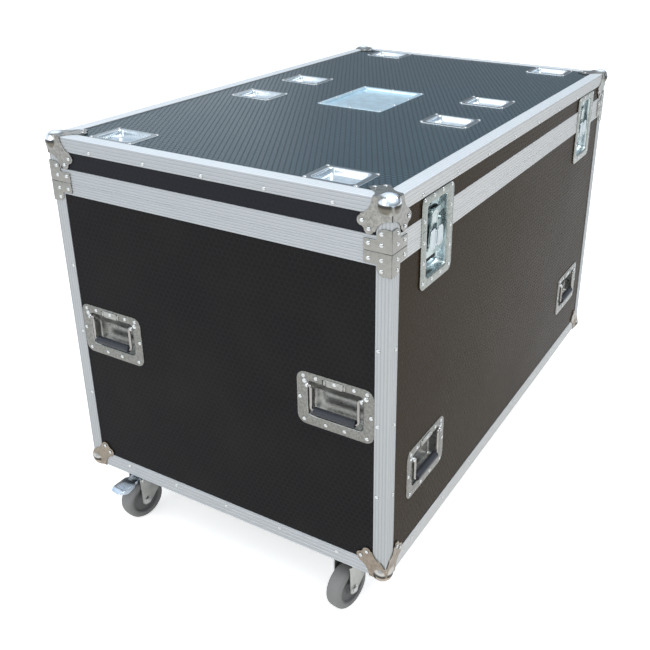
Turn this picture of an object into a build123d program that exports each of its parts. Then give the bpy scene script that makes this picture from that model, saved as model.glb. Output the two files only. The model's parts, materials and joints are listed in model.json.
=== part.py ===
from build123d import *
import os
from math import ceil, cos, radians, sin, sqrt

os.makedirs("parts", exist_ok=True)

# Road case: X runs along the long side, -Y is the latch side, Z is up and 0 is the floor.
# The case body, measured over its edging
case_length = 1285.0
case_depth = 800.0
case_height = 805.0
lid_height = 96.0
seam_gap = 0.6
panel_thickness = 9.5
cut_overrun = 2.0
running_gap = 0.05
moving_gap = 0.4
panel_cut_clearance = 1.0
floor_rebate_depth = 3.0

# Angle edging: ribbed flanges on both faces of every outer edge
edging_wall = 1.8
edging_flange = 30.0
bottom_edging_flange = 36.0
rib_groove_width = 2.2
rib_groove_depth = 0.6
rib_groove_margin = 4.5
rib_groove_count = 4

# Groove rail on the base and tongue rail on the lid
lid_rail_height = 28.4
base_rail_height = 26.0
rail_web = 1.6
rail_inner_wall = 1.5
rail_inner_leg = 18.0
groove_depth = 4.4
groove_width = 4.8
tongue_width = 3.2
tongue_height = 3.4

# Ball corner: a hollow ball with three pairs of lobes
ball_radius = 20.5
ball_inset = 12.0
ball_wall = 2.0
lobe_plate = 2.0
lobe_radius = 10.0
lobe_rivet_far = 57.0
lobe_rivet_near = 43.5
lobe_arc_radius = 33.0
lobe_arc_centre = 71.0
lobe_web_rise = 7.5

# Corner brace: a stepped plate bent round the corner on each side of the seam
brace_plate = 2.0
brace_narrow_width = 28.0
brace_wide_width = 54.0
brace_narrow_height = 43.0
brace_wide_height = 22.0
brace_shoulder_radius = 14.0
brace_rivet_column = 19.0
brace_rivet_wide_column = 44.5
brace_rivet_low = 13.5
brace_rivet_high = 33.5

# Rivets with domed heads
rivet_head_radius = 4.2
rivet_head_height = 1.7
edging_rivet_inset = 23.5
edging_rivet_pitch = 160.0
edging_rivet_end = 115.0

# Latch dish, half in the lid and half in the base
latch_end_distance = 177.5
latch_dish_width = 134.0
latch_dish_up = 65.0
latch_dish_down = 115.0
latch_dish_corner = 14.0
latch_sheet = 1.5
latch_pan_width = 88.0
latch_pan_up = 48.0
latch_pan_down = 96.0
latch_pan_depth = 20.0
latch_pan_corner = 10.0
latch_rivet_inset = 11.0
latch_rivet_top = 60.0
latch_rivet_pitch = 40.3

# Latch mechanism
housing_width = 80.0
housing_top = 4.0
housing_bottom = 70.0
housing_face_depth = 12.3
housing_sheet = 1.5
hub_drop = 28.0
hub_radius = 17.0
hub_top_depth = 3.0
hub_thickness = 3.3
spindle_radius = 5.0
spindle_end_depth = 17.2
spindle_collar_radius = 8.0
hook_width = 28.0
hook_thickness = 2.5
hook_face_depth = 9.3
hook_reach = 25.0
hook_foot_drop = 54.0
hook_pivot_drop = 50.0
hook_pivot_radius = 1.5
hook_spindle_hole_radius = 8.0
hook_lip_height = 3.2
hook_lip_length = 3.2
hook_tilt = 3.5
ear_gap = 2.0
ear_thickness = 3.0
ear_width = 8.0
keeper_face_depth = 12.3
keeper_thickness = 2.0
keeper_width = 80.0
keeper_low = 8.0
wing_axis_offset = 4.2
wing_axis_depth = 0.6
wing_barrel_radius = 2.0
wing_barrel_length = 24.0
wing_pin_radius = 1.0
wing_reach = 28.0
wing_height = 40.0
wing_thickness = 1.6
wing_corner = 12.0
hub_lug_length = 3.0

# Recessed bail handle
handle_dish_width = 170.0
handle_dish_height = 117.0
handle_dish_corner = 19.0
handle_sheet = 1.5
handle_pan_width = 122.0
handle_pan_down = 36.0
handle_pan_up = 40.0
handle_pan_back_up = 14.0
handle_pan_depth = 22.0
handle_pan_corner = 8.0
bail_radius = 3.3
bail_arm_offset = 52.5
bail_bend_radius = 5.0
bail_pivot_up = 31.0
bail_pivot_rise = 0.6
bail_grip_down = 22.5
bail_grip_rise = 2.1
grip_radius = 8.2
grip_length = 92.0
grip_edge = 2.0
ear_block_thickness = 3.6
ear_block_reach = 8.0
ear_block_cover = 2.0
spring_cover_width = 44.0
spring_cover_height = 14.0
spring_cover_thickness = 1.2
handle_rivet_inset_x = 15.0
handle_rivet_inset_z = 10.0
handle_rivet_side_inset = 6.5
handle_rivet_top_pitch = 42.0
handle_rivet_bottom_pitch = 42.0
end_handle_corner_distance = 115.5
end_handle_height = 373.5
side_handle_corner_distance = 168.5
side_handle_height = 195.5

# Castor dishes and the label dish in the top of the lid
castor_dish_length = 88.0
castor_dish_width = 115.0
castor_dish_corner = 9.0
castor_dish_sheet = 1.3
castor_pan_length = 66.0
castor_pan_width = 86.0
castor_pan_corner = 8.0
castor_pan_depth = 13.0
castor_dish_rivet_inset = 5.5
castor_dish_end_distance = 74.5
castor_dish_middle_offset = 107.0
castor_dish_side_distance = 142.0
label_dish_length = 226.0
label_dish_width = 173.0
label_dish_corner = 5.0
label_dish_sheet = 1.2
label_pan_margin = 12.0
label_pan_depth = 5.0
label_rivet_inset = 6.0
label_rivet_pitch = 70.0

# Castors on their mounting boards
board_size = 118.0
board_thickness = 12.0
castor_end_distance = 74.0
castor_side_distance = 109.0
castor_height = 132.0
plate_length = 100.0
plate_width = 85.0
plate_corner = 8.0
plate_thickness = 3.2
bolt_spacing_x = 80.0
bolt_spacing_y = 60.0
bolt_radius = 4.0
bolt_head_radius = 6.5
bolt_head_height = 5.3
race_radius = 27.0
race_height = 7.5
kingpin_radius = 6.0
kingpin_head_radius = 9.0
kingpin_head_height = 3.0
crown_thickness = 4.0
crown_cup_radius = 28.5
crown_cup_height = 6.0
leg_thickness = 3.0
leg_gap = 2.0
leg_front = 22.0
leg_back = 52.0
leg_foot_radius = 13.0
leg_apron = 20.0
wheel_radius = 51.0
wheel_width = 36.0
wheel_trail = 38.0
tyre_inner_radius = 36.0
tyre_shoulder = 8.0
core_web_recess = 6.0
core_rim_radius = 32.0
core_hub_radius = 14.0
axle_radius = 6.0
axle_head_radius = 9.0
axle_head_height = 5.5
pedal_width = 30.0
pedal_blade_width = 40.0
pedal_blade_start = 62.0
pedal_thickness = 2.5
pedal_pivot_reach = 44.0
pedal_pivot_radius = 3.0
pedal_barrel_radius = 5.0
pedal_knee_reach = 99.0
pedal_tip_reach = 109.0
pedal_knee_drop = 8.0
pedal_tip_drop = 12.0
pedal_flange_start = 66.0
pedal_flange_low = 84.0
pedal_flange_drop = 10.0
pedal_flange_deep_drop = 16.0
pedal_flange_end_drop = 6.0
pedal_shoe_reach = 57.0
pedal_shoe_length = 8.0
pedal_shoe_gap = 2.2
free_castor_heading = 172.0
braked_castor_heading = 170.0

# Hinges on the back
hinge_end_distance = 222.5
hinge_width = 80.0
hinge_leaf_height = 24.0
hinge_leaf_thickness = 2.0
knuckle_radius = 4.0
knuckle_standoff = 0.4
hinge_pin_radius = 2.0
hinge_pin_head_radius = 3.2
hinge_pin_head_length = 2.0
hinge_rivet_rise = 15.0
hinge_rivet_spread = 28.0

half_length = case_length / 2
half_depth = case_depth / 2
latch_offset = half_length - latch_end_distance
end_handle_offset = half_depth - end_handle_corner_distance
side_handle_offset = half_length - side_handle_corner_distance
castor_dish_corner_offset = half_length - castor_dish_end_distance
castor_dish_side_offset = half_depth - castor_dish_side_distance
castor_offset_x = half_length - castor_end_distance
castor_offset_y = half_depth - castor_side_distance
hinge_offset = half_length - hinge_end_distance
case_under = castor_height + board_thickness
case_top = case_under + case_height
seam_z = case_top - lid_height
lid_under = seam_z + seam_gap
skin_x = half_length - edging_wall
skin_y = half_depth - edging_wall
skin_under = case_under + edging_wall
skin_top = case_top - edging_wall
floor_top = skin_under + panel_thickness
wall_under = floor_top - floor_rebate_depth
roof_under = skin_top - panel_thickness
inner_x = skin_x - panel_thickness
inner_y = skin_y - panel_thickness
rail_depth = edging_wall + panel_thickness + rail_inner_wall
rail_seat = groove_depth + rail_web
wall_top = seam_z - rail_seat
lid_wall_under = lid_under + rail_web
ball_reach = ball_inset + sqrt(ball_radius**2 - (ball_inset - edging_wall) ** 2)
edging_end = ball_reach + panel_cut_clearance

front = Plane(origin=(0, -half_depth, 0), x_dir=(1, 0, 0), z_dir=(0, -1, 0))
back = Plane(origin=(0, half_depth, 0), x_dir=(-1, 0, 0), z_dir=(0, 1, 0))
left = Plane(origin=(-half_length, 0, 0), x_dir=(0, -1, 0), z_dir=(-1, 0, 0))
right = Plane(origin=(half_length, 0, 0), x_dir=(0, 1, 0), z_dir=(1, 0, 0))


def span_box(x_span, y_span, z_span):
    sizes = [high - low for low, high in (x_span, y_span, z_span)]
    centre = [(low + high) / 2 for low, high in (x_span, y_span, z_span)]
    return Pos(*centre) * Box(*sizes)


def spot(plane, across, up, out=0):
    return plane.location * Pos(across, up, out)


def write_node(name, shapes):
    solids = [solid for shape in shapes for solid in shape.solids()]
    shape = solids[0] if len(solids) == 1 else Compound(children=solids)
    shape.label = name
    export_step(shape, f"parts/{name}.step")


def rounded_plate(width, height, corner, thickness):
    return extrude(RectangleRounded(width, height, corner), amount=thickness)


def outline(points):
    return make_face(Polyline(*points, close=True))


def groove_places(length):
    first = rib_groove_margin
    step = (length - 2 * first) / (rib_groove_count - 1)
    return [first + step * index for index in range(rib_groove_count)]


def ribbed_run(length):
    """Points (along, depth) of a ribbed face, from 0 to its length."""
    points = [(0, 0)]
    for place in groove_places(length):
        low = place - rib_groove_width / 2
        high = place + rib_groove_width / 2
        points += [(low, 0), (low, rib_groove_depth), (high, rib_groove_depth), (high, 0)]
    return points + [(length, 0)]


# Rivet head, seated at 0 and rising along Z
dome_radius = (rivet_head_radius**2 + rivet_head_height**2) / (2 * rivet_head_height)
dome_mid = rivet_head_radius / sqrt(2)
dome_mid_rise = rivet_head_height - dome_radius + sqrt(dome_radius**2 - dome_mid**2)
rivet_profile = make_face(
    Line((0, 0), (rivet_head_radius, 0))
    + ThreePointArc(
        (rivet_head_radius, 0), (dome_mid, dome_mid_rise), (0, rivet_head_height)
    )
    + Line((0, rivet_head_height), (0, 0))
)
rivet = revolve(Plane.XZ * rivet_profile, Axis.Z)


# Angle edging
def angle_profile(flange_x, flange_y):
    along_x = [(place, depth) for place, depth in ribbed_run(flange_x)]
    along_y = [(depth, place) for place, depth in ribbed_run(flange_y)]
    inside = [(flange_x, edging_wall), (edging_wall, edging_wall), (edging_wall, flange_y)]
    return outline(along_x + inside + along_y[:0:-1])


def angle_bar(centre, x_dir, y_dir, length, flange_x, flange_y):
    plane = Plane(origin=centre, x_dir=x_dir, z_dir=Vector(*x_dir).cross(Vector(*y_dir)))
    return extrude(plane * angle_profile(flange_x, flange_y), amount=length / 2, both=True)


def edging_loop(level, inward, flange):
    """Four bars round the case at a level; inward is 1 upwards and -1 downwards."""
    bars = []
    long_run = case_length - 2 * edging_end
    short_run = case_depth - 2 * edging_end
    for side in (-1, 1):
        bars.append(
            angle_bar(
                (0, side * half_depth, level), (0, -side, 0), (0, 0, inward),
                long_run, flange, flange,
            )
        )
        bars.append(
            angle_bar(
                (side * half_length, 0, level), (-side, 0, 0), (0, 0, inward),
                short_run, flange, flange,
            )
        )
    return bars


def upright_edging(low, high):
    bars = []
    for side_x in (-1, 1):
        for side_y in (-1, 1):
            bars.append(
                angle_bar(
                    (side_x * half_length, side_y * half_depth, (low + high) / 2),
                    (-side_x, 0, 0), (0, -side_y, 0),
                    high - low, edging_flange, edging_flange,
                )
            )
    return bars


base_edging = edging_loop(case_under, 1, bottom_edging_flange)
base_edging += upright_edging(case_under + edging_end, seam_z - base_rail_height)
lid_edging = edging_loop(case_top, -1, edging_flange)
lid_edging += upright_edging(lid_under + lid_rail_height, case_top - edging_end)
write_node("base_edge_extrusions", base_edging)
write_node("lid_edge_extrusions", lid_edging)

# Rails round the mouth: depth inwards is X and height is Y in their sections
groove_centre = edging_wall + panel_thickness / 2
groove_section = outline(
    [(depth, place - base_rail_height) for place, depth in ribbed_run(base_rail_height)]
    + [
        (groove_centre - groove_width / 2, 0),
        (groove_centre - groove_width / 2, -groove_depth),
        (groove_centre + groove_width / 2, -groove_depth),
        (groove_centre + groove_width / 2, 0),
        (rail_depth, 0),
        (rail_depth, -rail_inner_leg),
        (rail_depth - rail_inner_wall, -rail_inner_leg),
        (rail_depth - rail_inner_wall, -rail_seat),
        (edging_wall, -rail_seat),
        (edging_wall, -base_rail_height),
    ]
)
tongue_section = outline(
    [(depth, lid_rail_height - place) for place, depth in ribbed_run(lid_rail_height)]
    + [
        (groove_centre - tongue_width / 2, 0),
        (groove_centre - tongue_width / 2, -tongue_height),
        (groove_centre + tongue_width / 2, -tongue_height),
        (groove_centre + tongue_width / 2, 0),
        (rail_depth, 0),
        (rail_depth, rail_inner_leg),
        (rail_depth - rail_inner_wall, rail_inner_leg),
        (rail_depth - rail_inner_wall, rail_web),
        (edging_wall, rail_web),
        (edging_wall, lid_rail_height),
    ]
)


def rail_bar(section, centre, inward, length):
    plane = Plane(origin=centre, x_dir=inward, z_dir=Vector(*inward).cross(Vector(0, 0, 1)))
    return extrude(plane * section, amount=length / 2, both=True)


latch_notch = latch_pan_width / 2 + latch_sheet + panel_cut_clearance


def rail_loop(section, level):
    end_run = half_length - latch_offset - latch_notch
    middle_run = 2 * (latch_offset - latch_notch)
    bars = [rail_bar(section, (0, half_depth, level), (0, -1, 0), case_length)]
    bars.append(rail_bar(section, (0, -half_depth, level), (0, 1, 0), middle_run))
    for side in (-1, 1):
        bars.append(
            rail_bar(
                section,
                (side * (half_length - end_run / 2), -half_depth, level),
                (0, 1, 0),
                end_run,
            )
        )
        bars.append(
            rail_bar(
                section,
                (side * half_length, 0, level),
                (-side, 0, 0),
                case_depth - 2 * rail_depth,
            )
        )
    return bars


write_node("base_groove_rails", rail_loop(groove_section, seam_z))
write_node("lid_tongue_rails", rail_loop(tongue_section, lid_under))

# Plywood panels, with cut-outs for the recessed hardware
handle_cut_half = handle_pan_width / 2 + handle_sheet + panel_cut_clearance
handle_cut_low = -handle_pan_down - handle_sheet - panel_cut_clearance
handle_cut_high = handle_pan_up + handle_sheet + panel_cut_clearance
handle_cut = span_box(
    (-handle_cut_half, handle_cut_half),
    (handle_cut_low, handle_cut_high),
    (-edging_wall - panel_thickness - cut_overrun, cut_overrun),
)
handle_places = {
    "front_left": spot(front, -side_handle_offset, case_under + side_handle_height),
    "front_right": spot(front, side_handle_offset, case_under + side_handle_height),
    "back_left": spot(back, side_handle_offset, case_under + side_handle_height),
    "back_right": spot(back, -side_handle_offset, case_under + side_handle_height),
    "left_front": spot(left, end_handle_offset, case_under + end_handle_height),
    "left_back": spot(left, -end_handle_offset, case_under + end_handle_height),
    "right_front": spot(right, -end_handle_offset, case_under + end_handle_height),
    "right_back": spot(right, end_handle_offset, case_under + end_handle_height),
}
latch_places = {
    "left": spot(front, -latch_offset, seam_z),
    "right": spot(front, latch_offset, seam_z),
}
latch_cut = span_box(
    (-latch_notch, latch_notch),
    (
        -latch_pan_down - latch_sheet - panel_cut_clearance,
        latch_pan_up + latch_sheet + panel_cut_clearance,
    ),
    (-edging_wall - panel_thickness - cut_overrun, cut_overrun),
)

base_walls = [
    span_box((-skin_x, skin_x), (-skin_y, -inner_y), (wall_under, wall_top)),
    span_box((-skin_x, skin_x), (inner_y, skin_y), (wall_under, wall_top)),
    span_box((-skin_x, -inner_x), (-inner_y, inner_y), (wall_under, wall_top)),
    span_box((inner_x, skin_x), (-inner_y, inner_y), (wall_under, wall_top)),
]
for wall_index, side_name in enumerate(("front", "back", "left", "right")):
    for place_name, place in handle_places.items():
        if place_name.startswith(side_name):
            base_walls[wall_index] -= place * handle_cut
for place in latch_places.values():
    base_walls[0] -= place * latch_cut
end_notch = inner_y - rail_inner_wall
for wall_index in (2, 3):
    base_walls[wall_index] -= span_box(
        (-skin_x, skin_x), (end_notch, inner_y), (seam_z - rail_inner_leg, wall_top)
    )
    base_walls[wall_index] -= span_box(
        (-skin_x, skin_x), (-inner_y, -end_notch), (seam_z - rail_inner_leg, wall_top)
    )
write_node("base_wall_panels", base_walls)
floor_panel = span_box((-skin_x, skin_x), (-skin_y, skin_y), (skin_under, wall_under))
floor_panel += span_box((-inner_x, inner_x), (-inner_y, inner_y), (wall_under, floor_top))
write_node("base_floor_panel", [floor_panel])

lid_walls = [
    span_box((-skin_x, skin_x), (-skin_y, -inner_y), (lid_wall_under, roof_under)),
    span_box((-skin_x, skin_x), (inner_y, skin_y), (lid_wall_under, roof_under)),
    span_box((-skin_x, -inner_x), (-inner_y, inner_y), (lid_wall_under, roof_under)),
    span_box((inner_x, skin_x), (-inner_y, inner_y), (lid_wall_under, roof_under)),
]
for place in latch_places.values():
    lid_walls[0] -= place * latch_cut
for wall_index in (2, 3):
    lid_walls[wall_index] -= span_box(
        (-skin_x, skin_x), (end_notch, inner_y), (lid_wall_under, lid_under + rail_inner_leg)
    )
    lid_walls[wall_index] -= span_box(
        (-skin_x, skin_x), (-inner_y, -end_notch), (lid_wall_under, lid_under + rail_inner_leg)
    )
write_node("lid_wall_panels", lid_walls)

castor_dish_places = [
    Pos(side_x * offset_x, side_y * castor_dish_side_offset, skin_top)
    for offset_x in (castor_dish_corner_offset, castor_dish_middle_offset)
    for side_x in (-1, 1)
    for side_y in (-1, 1)
]
castor_pan_cut = span_box(
    (-castor_pan_length / 2, castor_pan_length / 2),
    (-castor_pan_width / 2, castor_pan_width / 2),
    (-panel_thickness - cut_overrun, cut_overrun),
)
castor_panel_cut = extrude(
    Rectangle(
        castor_pan_length + 2 * (castor_dish_sheet + panel_cut_clearance),
        castor_pan_width + 2 * (castor_dish_sheet + panel_cut_clearance),
    ),
    amount=panel_thickness + cut_overrun,
    both=True,
)
label_pan_length = label_dish_length - 2 * label_pan_margin
label_pan_width = label_dish_width - 2 * label_pan_margin
label_panel_cut = extrude(
    Rectangle(
        label_pan_length + 2 * (label_dish_sheet + panel_cut_clearance),
        label_pan_width + 2 * (label_dish_sheet + panel_cut_clearance),
    ),
    amount=panel_thickness + cut_overrun,
    both=True,
)
roof_panel = span_box((-skin_x, skin_x), (-skin_y, skin_y), (roof_under, skin_top))
for place in castor_dish_places:
    roof_panel -= place * castor_panel_cut
roof_panel -= Pos(0, 0, skin_top) * label_panel_cut
write_node("lid_top_panel", [roof_panel])

# Dishes in the lid, each with its flange on the panel face at 0


def dish(length, width, corner, pan_length, pan_width, pan_corner, depth, sheet):
    flange = rounded_plate(length, width, corner, sheet)
    shell = Pos(0, 0, -depth - sheet) * rounded_plate(
        pan_length + 2 * sheet, pan_width + 2 * sheet, pan_corner + sheet, depth + sheet
    )
    hollow = Pos(0, 0, -depth) * rounded_plate(
        pan_length, pan_width, pan_corner, depth + sheet + cut_overrun
    )
    return flange + shell - hollow


castor_dish = dish(
    castor_dish_length, castor_dish_width, castor_dish_corner,
    castor_pan_length, castor_pan_width, castor_pan_corner,
    castor_pan_depth, castor_dish_sheet,
)
write_node("castor_dishes", [place * castor_dish for place in castor_dish_places])
label_dish = dish(
    label_dish_length, label_dish_width, label_dish_corner,
    label_pan_length, label_pan_width, label_dish_corner,
    label_pan_depth, label_dish_sheet,
)
write_node("label_dish", [Pos(0, 0, skin_top) * label_dish])

# Ball corners, made with the case corner at 0 and the case in +X, +Y and +Z
lobe_web_share = lobe_web_rise / sqrt(2)
lobe_middle = (lobe_rivet_far + lobe_rivet_near) / 2 + lobe_web_share
lobe_outline = outline(
    [
        (-lobe_plate, -lobe_plate),
        (lobe_arc_centre, -lobe_plate),
        (lobe_rivet_far, lobe_rivet_near),
        (lobe_middle, lobe_middle),
        (lobe_rivet_near, lobe_rivet_far),
        (-lobe_plate, lobe_arc_centre),
    ]
)
lobe_outline += Pos(lobe_rivet_far, lobe_rivet_near) * Circle(lobe_radius)
lobe_outline += Pos(lobe_rivet_near, lobe_rivet_far) * Circle(lobe_radius)
lobe_outline -= Pos(lobe_arc_centre, 0) * Circle(lobe_arc_radius)
lobe_outline -= Pos(0, lobe_arc_centre) * Circle(lobe_arc_radius)
lobe_pad_start = bottom_edging_flange + panel_cut_clearance
pad_size = lobe_arc_centre - lobe_pad_start
pad_window = Pos(lobe_pad_start + pad_size / 2, lobe_pad_start + pad_size / 2) * Rectangle(
    pad_size, pad_size
)
corner_planes = [
    Plane(origin=(0, 0, 0), x_dir=(1, 0, 0), z_dir=(0, 0, 1)),
    Plane(origin=(0, 0, 0), x_dir=(0, 1, 0), z_dir=(1, 0, 0)),
    Plane(origin=(0, 0, 0), x_dir=(0, 0, 1), z_dir=(0, 1, 0)),
]
ball_centre = Pos(ball_inset, ball_inset, ball_inset)
lobes = extrude(corner_planes[0] * lobe_outline, amount=-lobe_plate)
for corner_plane in corner_planes[1:]:
    lobes += extrude(corner_plane * lobe_outline, amount=-lobe_plate)
lobes -= ball_centre * Sphere(ball_radius - ball_wall)
ball_side = (-lobe_plate - cut_overrun, ball_inset)
lobes -= span_box(ball_side, ball_side, ball_side)
shell = ball_centre * (Sphere(ball_radius) - Sphere(ball_radius - ball_wall))
panel_corner = span_box(
    (edging_wall, lobe_arc_centre), (edging_wall, lobe_arc_centre), (edging_wall, lobe_arc_centre)
)
ball_corner = lobes + (shell - panel_corner)
for corner_plane in corner_planes:
    ball_corner += extrude(corner_plane * (lobe_outline & pad_window), amount=edging_wall)


def low_corner_frames(level):
    """The four corners at a level, each with the case inwards and upwards."""
    signs = [(-1, -1, 0), (1, -1, 90), (1, 1, 180), (-1, 1, 270)]
    return [
        Pos(side_x * half_length, side_y * half_depth, level) * Rot(0, 0, turn)
        for side_x, side_y, turn in signs
    ]


def high_corner_frames(level):
    """The four corners at a level, each with the case inwards and downwards."""
    signs = [(-1, 1, 0), (-1, -1, 90), (1, -1, 180), (1, 1, 270)]
    return [
        Pos(side_x * half_length, side_y * half_depth, level) * Rot(0, 0, turn) * Rot(180, 0, 0)
        for side_x, side_y, turn in signs
    ]


write_node("base_ball_corners", [frame * ball_corner for frame in low_corner_frames(case_under)])
write_node("lid_ball_corners", [frame * ball_corner for frame in high_corner_frames(case_top)])

# Corner braces, made with the seam at Z 0 and the brace above it
brace_outline = outline(
    [
        (-brace_plate, 0),
        (brace_wide_width, 0),
        (brace_wide_width, brace_wide_height),
        (brace_narrow_width, brace_wide_height),
        (brace_narrow_width, brace_narrow_height - brace_shoulder_radius),
        (brace_narrow_width - brace_shoulder_radius, brace_narrow_height),
        (-brace_plate, brace_narrow_height),
    ]
)
brace_outline += Pos(
    brace_narrow_width - brace_shoulder_radius, brace_narrow_height - brace_shoulder_radius
) * Circle(brace_shoulder_radius)
brace_planes = [
    Plane(origin=(0, 0, 0), x_dir=(1, 0, 0), z_dir=(0, -1, 0)),
    Plane(origin=(0, 0, 0), x_dir=(0, 1, 0), z_dir=(1, 0, 0)),
]
brace = extrude(brace_planes[0] * brace_outline, amount=brace_plate)
brace += extrude(brace_planes[1] * brace_outline, amount=-brace_plate)
write_node("lid_corner_braces", [frame * brace for frame in low_corner_frames(lid_under)])
write_node("base_corner_braces", [frame * brace for frame in high_corner_frames(seam_z)])

# Latch dish, in a frame with X across, Y up from the seam and Z out of the front
latch_dish_height = latch_dish_up + latch_dish_down
latch_pan_height = latch_pan_up + latch_pan_down
latch_dish_mid = (latch_dish_up - latch_dish_down) / 2
latch_pan_mid = (latch_pan_up - latch_pan_down) / 2
latch_flange = Pos(0, latch_dish_mid, 0) * rounded_plate(
    latch_dish_width, latch_dish_height, latch_dish_corner, latch_sheet
)
latch_shell = Pos(0, latch_pan_mid, -latch_pan_depth - latch_sheet) * rounded_plate(
    latch_pan_width + 2 * latch_sheet,
    latch_pan_height + 2 * latch_sheet,
    latch_pan_corner + latch_sheet,
    latch_pan_depth + latch_sheet,
)
latch_hollow = Pos(0, latch_pan_mid, -latch_pan_depth) * rounded_plate(
    latch_pan_width, latch_pan_height, latch_pan_corner, latch_pan_depth + latch_sheet + cut_overrun
)
latch_dish = latch_flange + latch_shell - latch_hollow
latch_slab = (-latch_pan_depth - latch_sheet - cut_overrun, latch_sheet + cut_overrun)
latch_side = (-latch_dish_width, latch_dish_width)
lower_dish = latch_dish - span_box(latch_side, (0, latch_dish_height), latch_slab)
upper_dish = latch_dish - span_box(latch_side, (-latch_dish_height, seam_gap), latch_slab)

housing_block = span_box(
    (-housing_width / 2, housing_width / 2),
    (-housing_bottom, -housing_top),
    (-latch_pan_depth, -housing_face_depth),
)
housing_hollow = span_box(
    (-housing_width / 2 + housing_sheet, housing_width / 2 - housing_sheet),
    (-housing_bottom - cut_overrun, -housing_top + cut_overrun),
    (-latch_pan_depth - cut_overrun, -housing_face_depth - housing_sheet),
)
hub_centre = Pos(0, -hub_drop, 0)
ear_inner = hook_width / 2 + ear_gap
ear_pivot = Pos(0, -hook_pivot_drop, -hook_face_depth - hook_thickness / 2)
ear_half = ear_width / 2
housing = housing_block - housing_hollow
for side in (-1, 1):
    near_face = side * ear_inner
    far_face = side * (ear_inner + ear_thickness)
    housing += span_box(
        (min(near_face, far_face), max(near_face, far_face)),
        (-hook_pivot_drop - ear_half, -hook_pivot_drop + ear_half),
        (-housing_face_depth, -hook_face_depth + hook_thickness / 2),
    )
housing -= hub_centre * Pos(0, 0, -housing_face_depth) * Cylinder(
    spindle_radius + running_gap, latch_pan_depth
)
housing -= ear_pivot * Rot(0, 90, 0) * Cylinder(
    hook_pivot_radius + running_gap, housing_width
)

keeper_high = hook_reach - hook_lip_height - moving_gap
keeper_side = latch_pan_depth - keeper_face_depth
keeper = span_box(
    (-keeper_width / 2, keeper_width / 2),
    (keeper_low, keeper_high),
    (-latch_pan_depth, -keeper_face_depth),
) - span_box(
    (-keeper_width / 2 + keeper_thickness, keeper_width / 2 - keeper_thickness),
    (keeper_low - cut_overrun, keeper_high + cut_overrun),
    (-latch_pan_depth - cut_overrun, -keeper_face_depth - keeper_thickness),
)

hub_under = -hub_top_depth - hub_thickness
hub = Pos(0, 0, hub_under + hub_thickness / 2) * Cylinder(hub_radius, hub_thickness)
spindle_length = spindle_end_depth + hub_under
hub += Pos(0, 0, hub_under - spindle_length / 2) * Cylinder(spindle_radius, spindle_length)
collar_top = -housing_face_depth - housing_sheet - moving_gap
collar_length = spindle_end_depth + collar_top
hub += Pos(0, 0, collar_top - collar_length / 2) * Cylinder(
    spindle_collar_radius, collar_length
)
lug_start = wing_barrel_length / 2 + moving_gap
for side in (-1, 1):
    near_face = side * lug_start
    far_face = side * (lug_start + hub_lug_length)
    hub += span_box(
        (-wing_axis_offset - wing_barrel_radius, wing_axis_offset + wing_barrel_radius),
        (min(near_face, far_face), max(near_face, far_face)),
        (-hub_top_depth, -wing_axis_depth),
    )
    for axis_side in (-1, 1):
        hub += Pos(
            axis_side * wing_axis_offset, (near_face + far_face) / 2, -wing_axis_depth
        ) * Rot(90, 0, 0) * Cylinder(wing_barrel_radius, hub_lug_length)
    hub += Pos(side * wing_axis_offset, 0, -wing_axis_depth) * Rot(90, 0, 0) * Cylinder(
        wing_pin_radius, 2 * lug_start
    )
hub = hub_centre * hub

wing_span = wing_reach - wing_axis_offset
wing_face = Pos(wing_span / 2, 0) * Rectangle(wing_span, wing_height) - Pos(
    0, 0
) * Rectangle(2 * (wing_barrel_radius + moving_gap), wing_height)
wing_blade = extrude(wing_face, amount=wing_thickness / 2, both=True)
wing_blade = fillet(wing_blade.edges().filter_by(Axis.Z).group_by(Axis.X)[-1], wing_corner)
wing_root = span_box(
    (0, wing_barrel_radius + moving_gap + wing_thickness),
    (-wing_barrel_length / 2, wing_barrel_length / 2),
    (-wing_thickness / 2, wing_thickness / 2),
)
wing = wing_blade + wing_root + Rot(90, 0, 0) * Cylinder(wing_barrel_radius, wing_barrel_length)
wing -= Rot(90, 0, 0) * Cylinder(wing_pin_radius + running_gap, wing_height)
wing_right = hub_centre * Pos(wing_axis_offset, 0, -wing_axis_depth) * wing
wing_left = hub_centre * Pos(-wing_axis_offset, 0, -wing_axis_depth) * Rot(0, 0, 180) * wing

hook = span_box(
    (-hook_width / 2, hook_width / 2),
    (-hook_foot_drop, hook_reach),
    (-hook_face_depth - hook_thickness, -hook_face_depth),
)
hook += span_box(
    (-hook_width / 2, hook_width / 2),
    (hook_reach - hook_lip_height, hook_reach),
    (-hook_face_depth - hook_thickness - hook_lip_length, -hook_face_depth),
)
hook -= hub_centre * Pos(0, 0, -hook_face_depth) * Cylinder(
    hook_spindle_hole_radius, latch_pan_depth
)
hook += ear_pivot * Rot(0, 90, 0) * Cylinder(
    hook_pivot_radius, 2 * (ear_inner + ear_thickness)
)
hook = ear_pivot * Rot(hook_tilt, 0, 0) * ear_pivot.inverse() * hook

write_node("latch_dishes", [place * lower_dish for place in latch_places.values()])
write_node("latch_housings", [place * housing for place in latch_places.values()])
write_node("latch_keeper_dishes", [place * upper_dish for place in latch_places.values()])
write_node("latch_keepers", [place * keeper for place in latch_places.values()])
for latch_name, place in latch_places.items():
    write_node(f"latch_hub_{latch_name}", [place * hub])
    write_node(f"latch_hook_{latch_name}", [place * hook])
    write_node(f"latch_wing_{latch_name}_a", [place * wing_left])
    write_node(f"latch_wing_{latch_name}_b", [place * wing_right])

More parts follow.
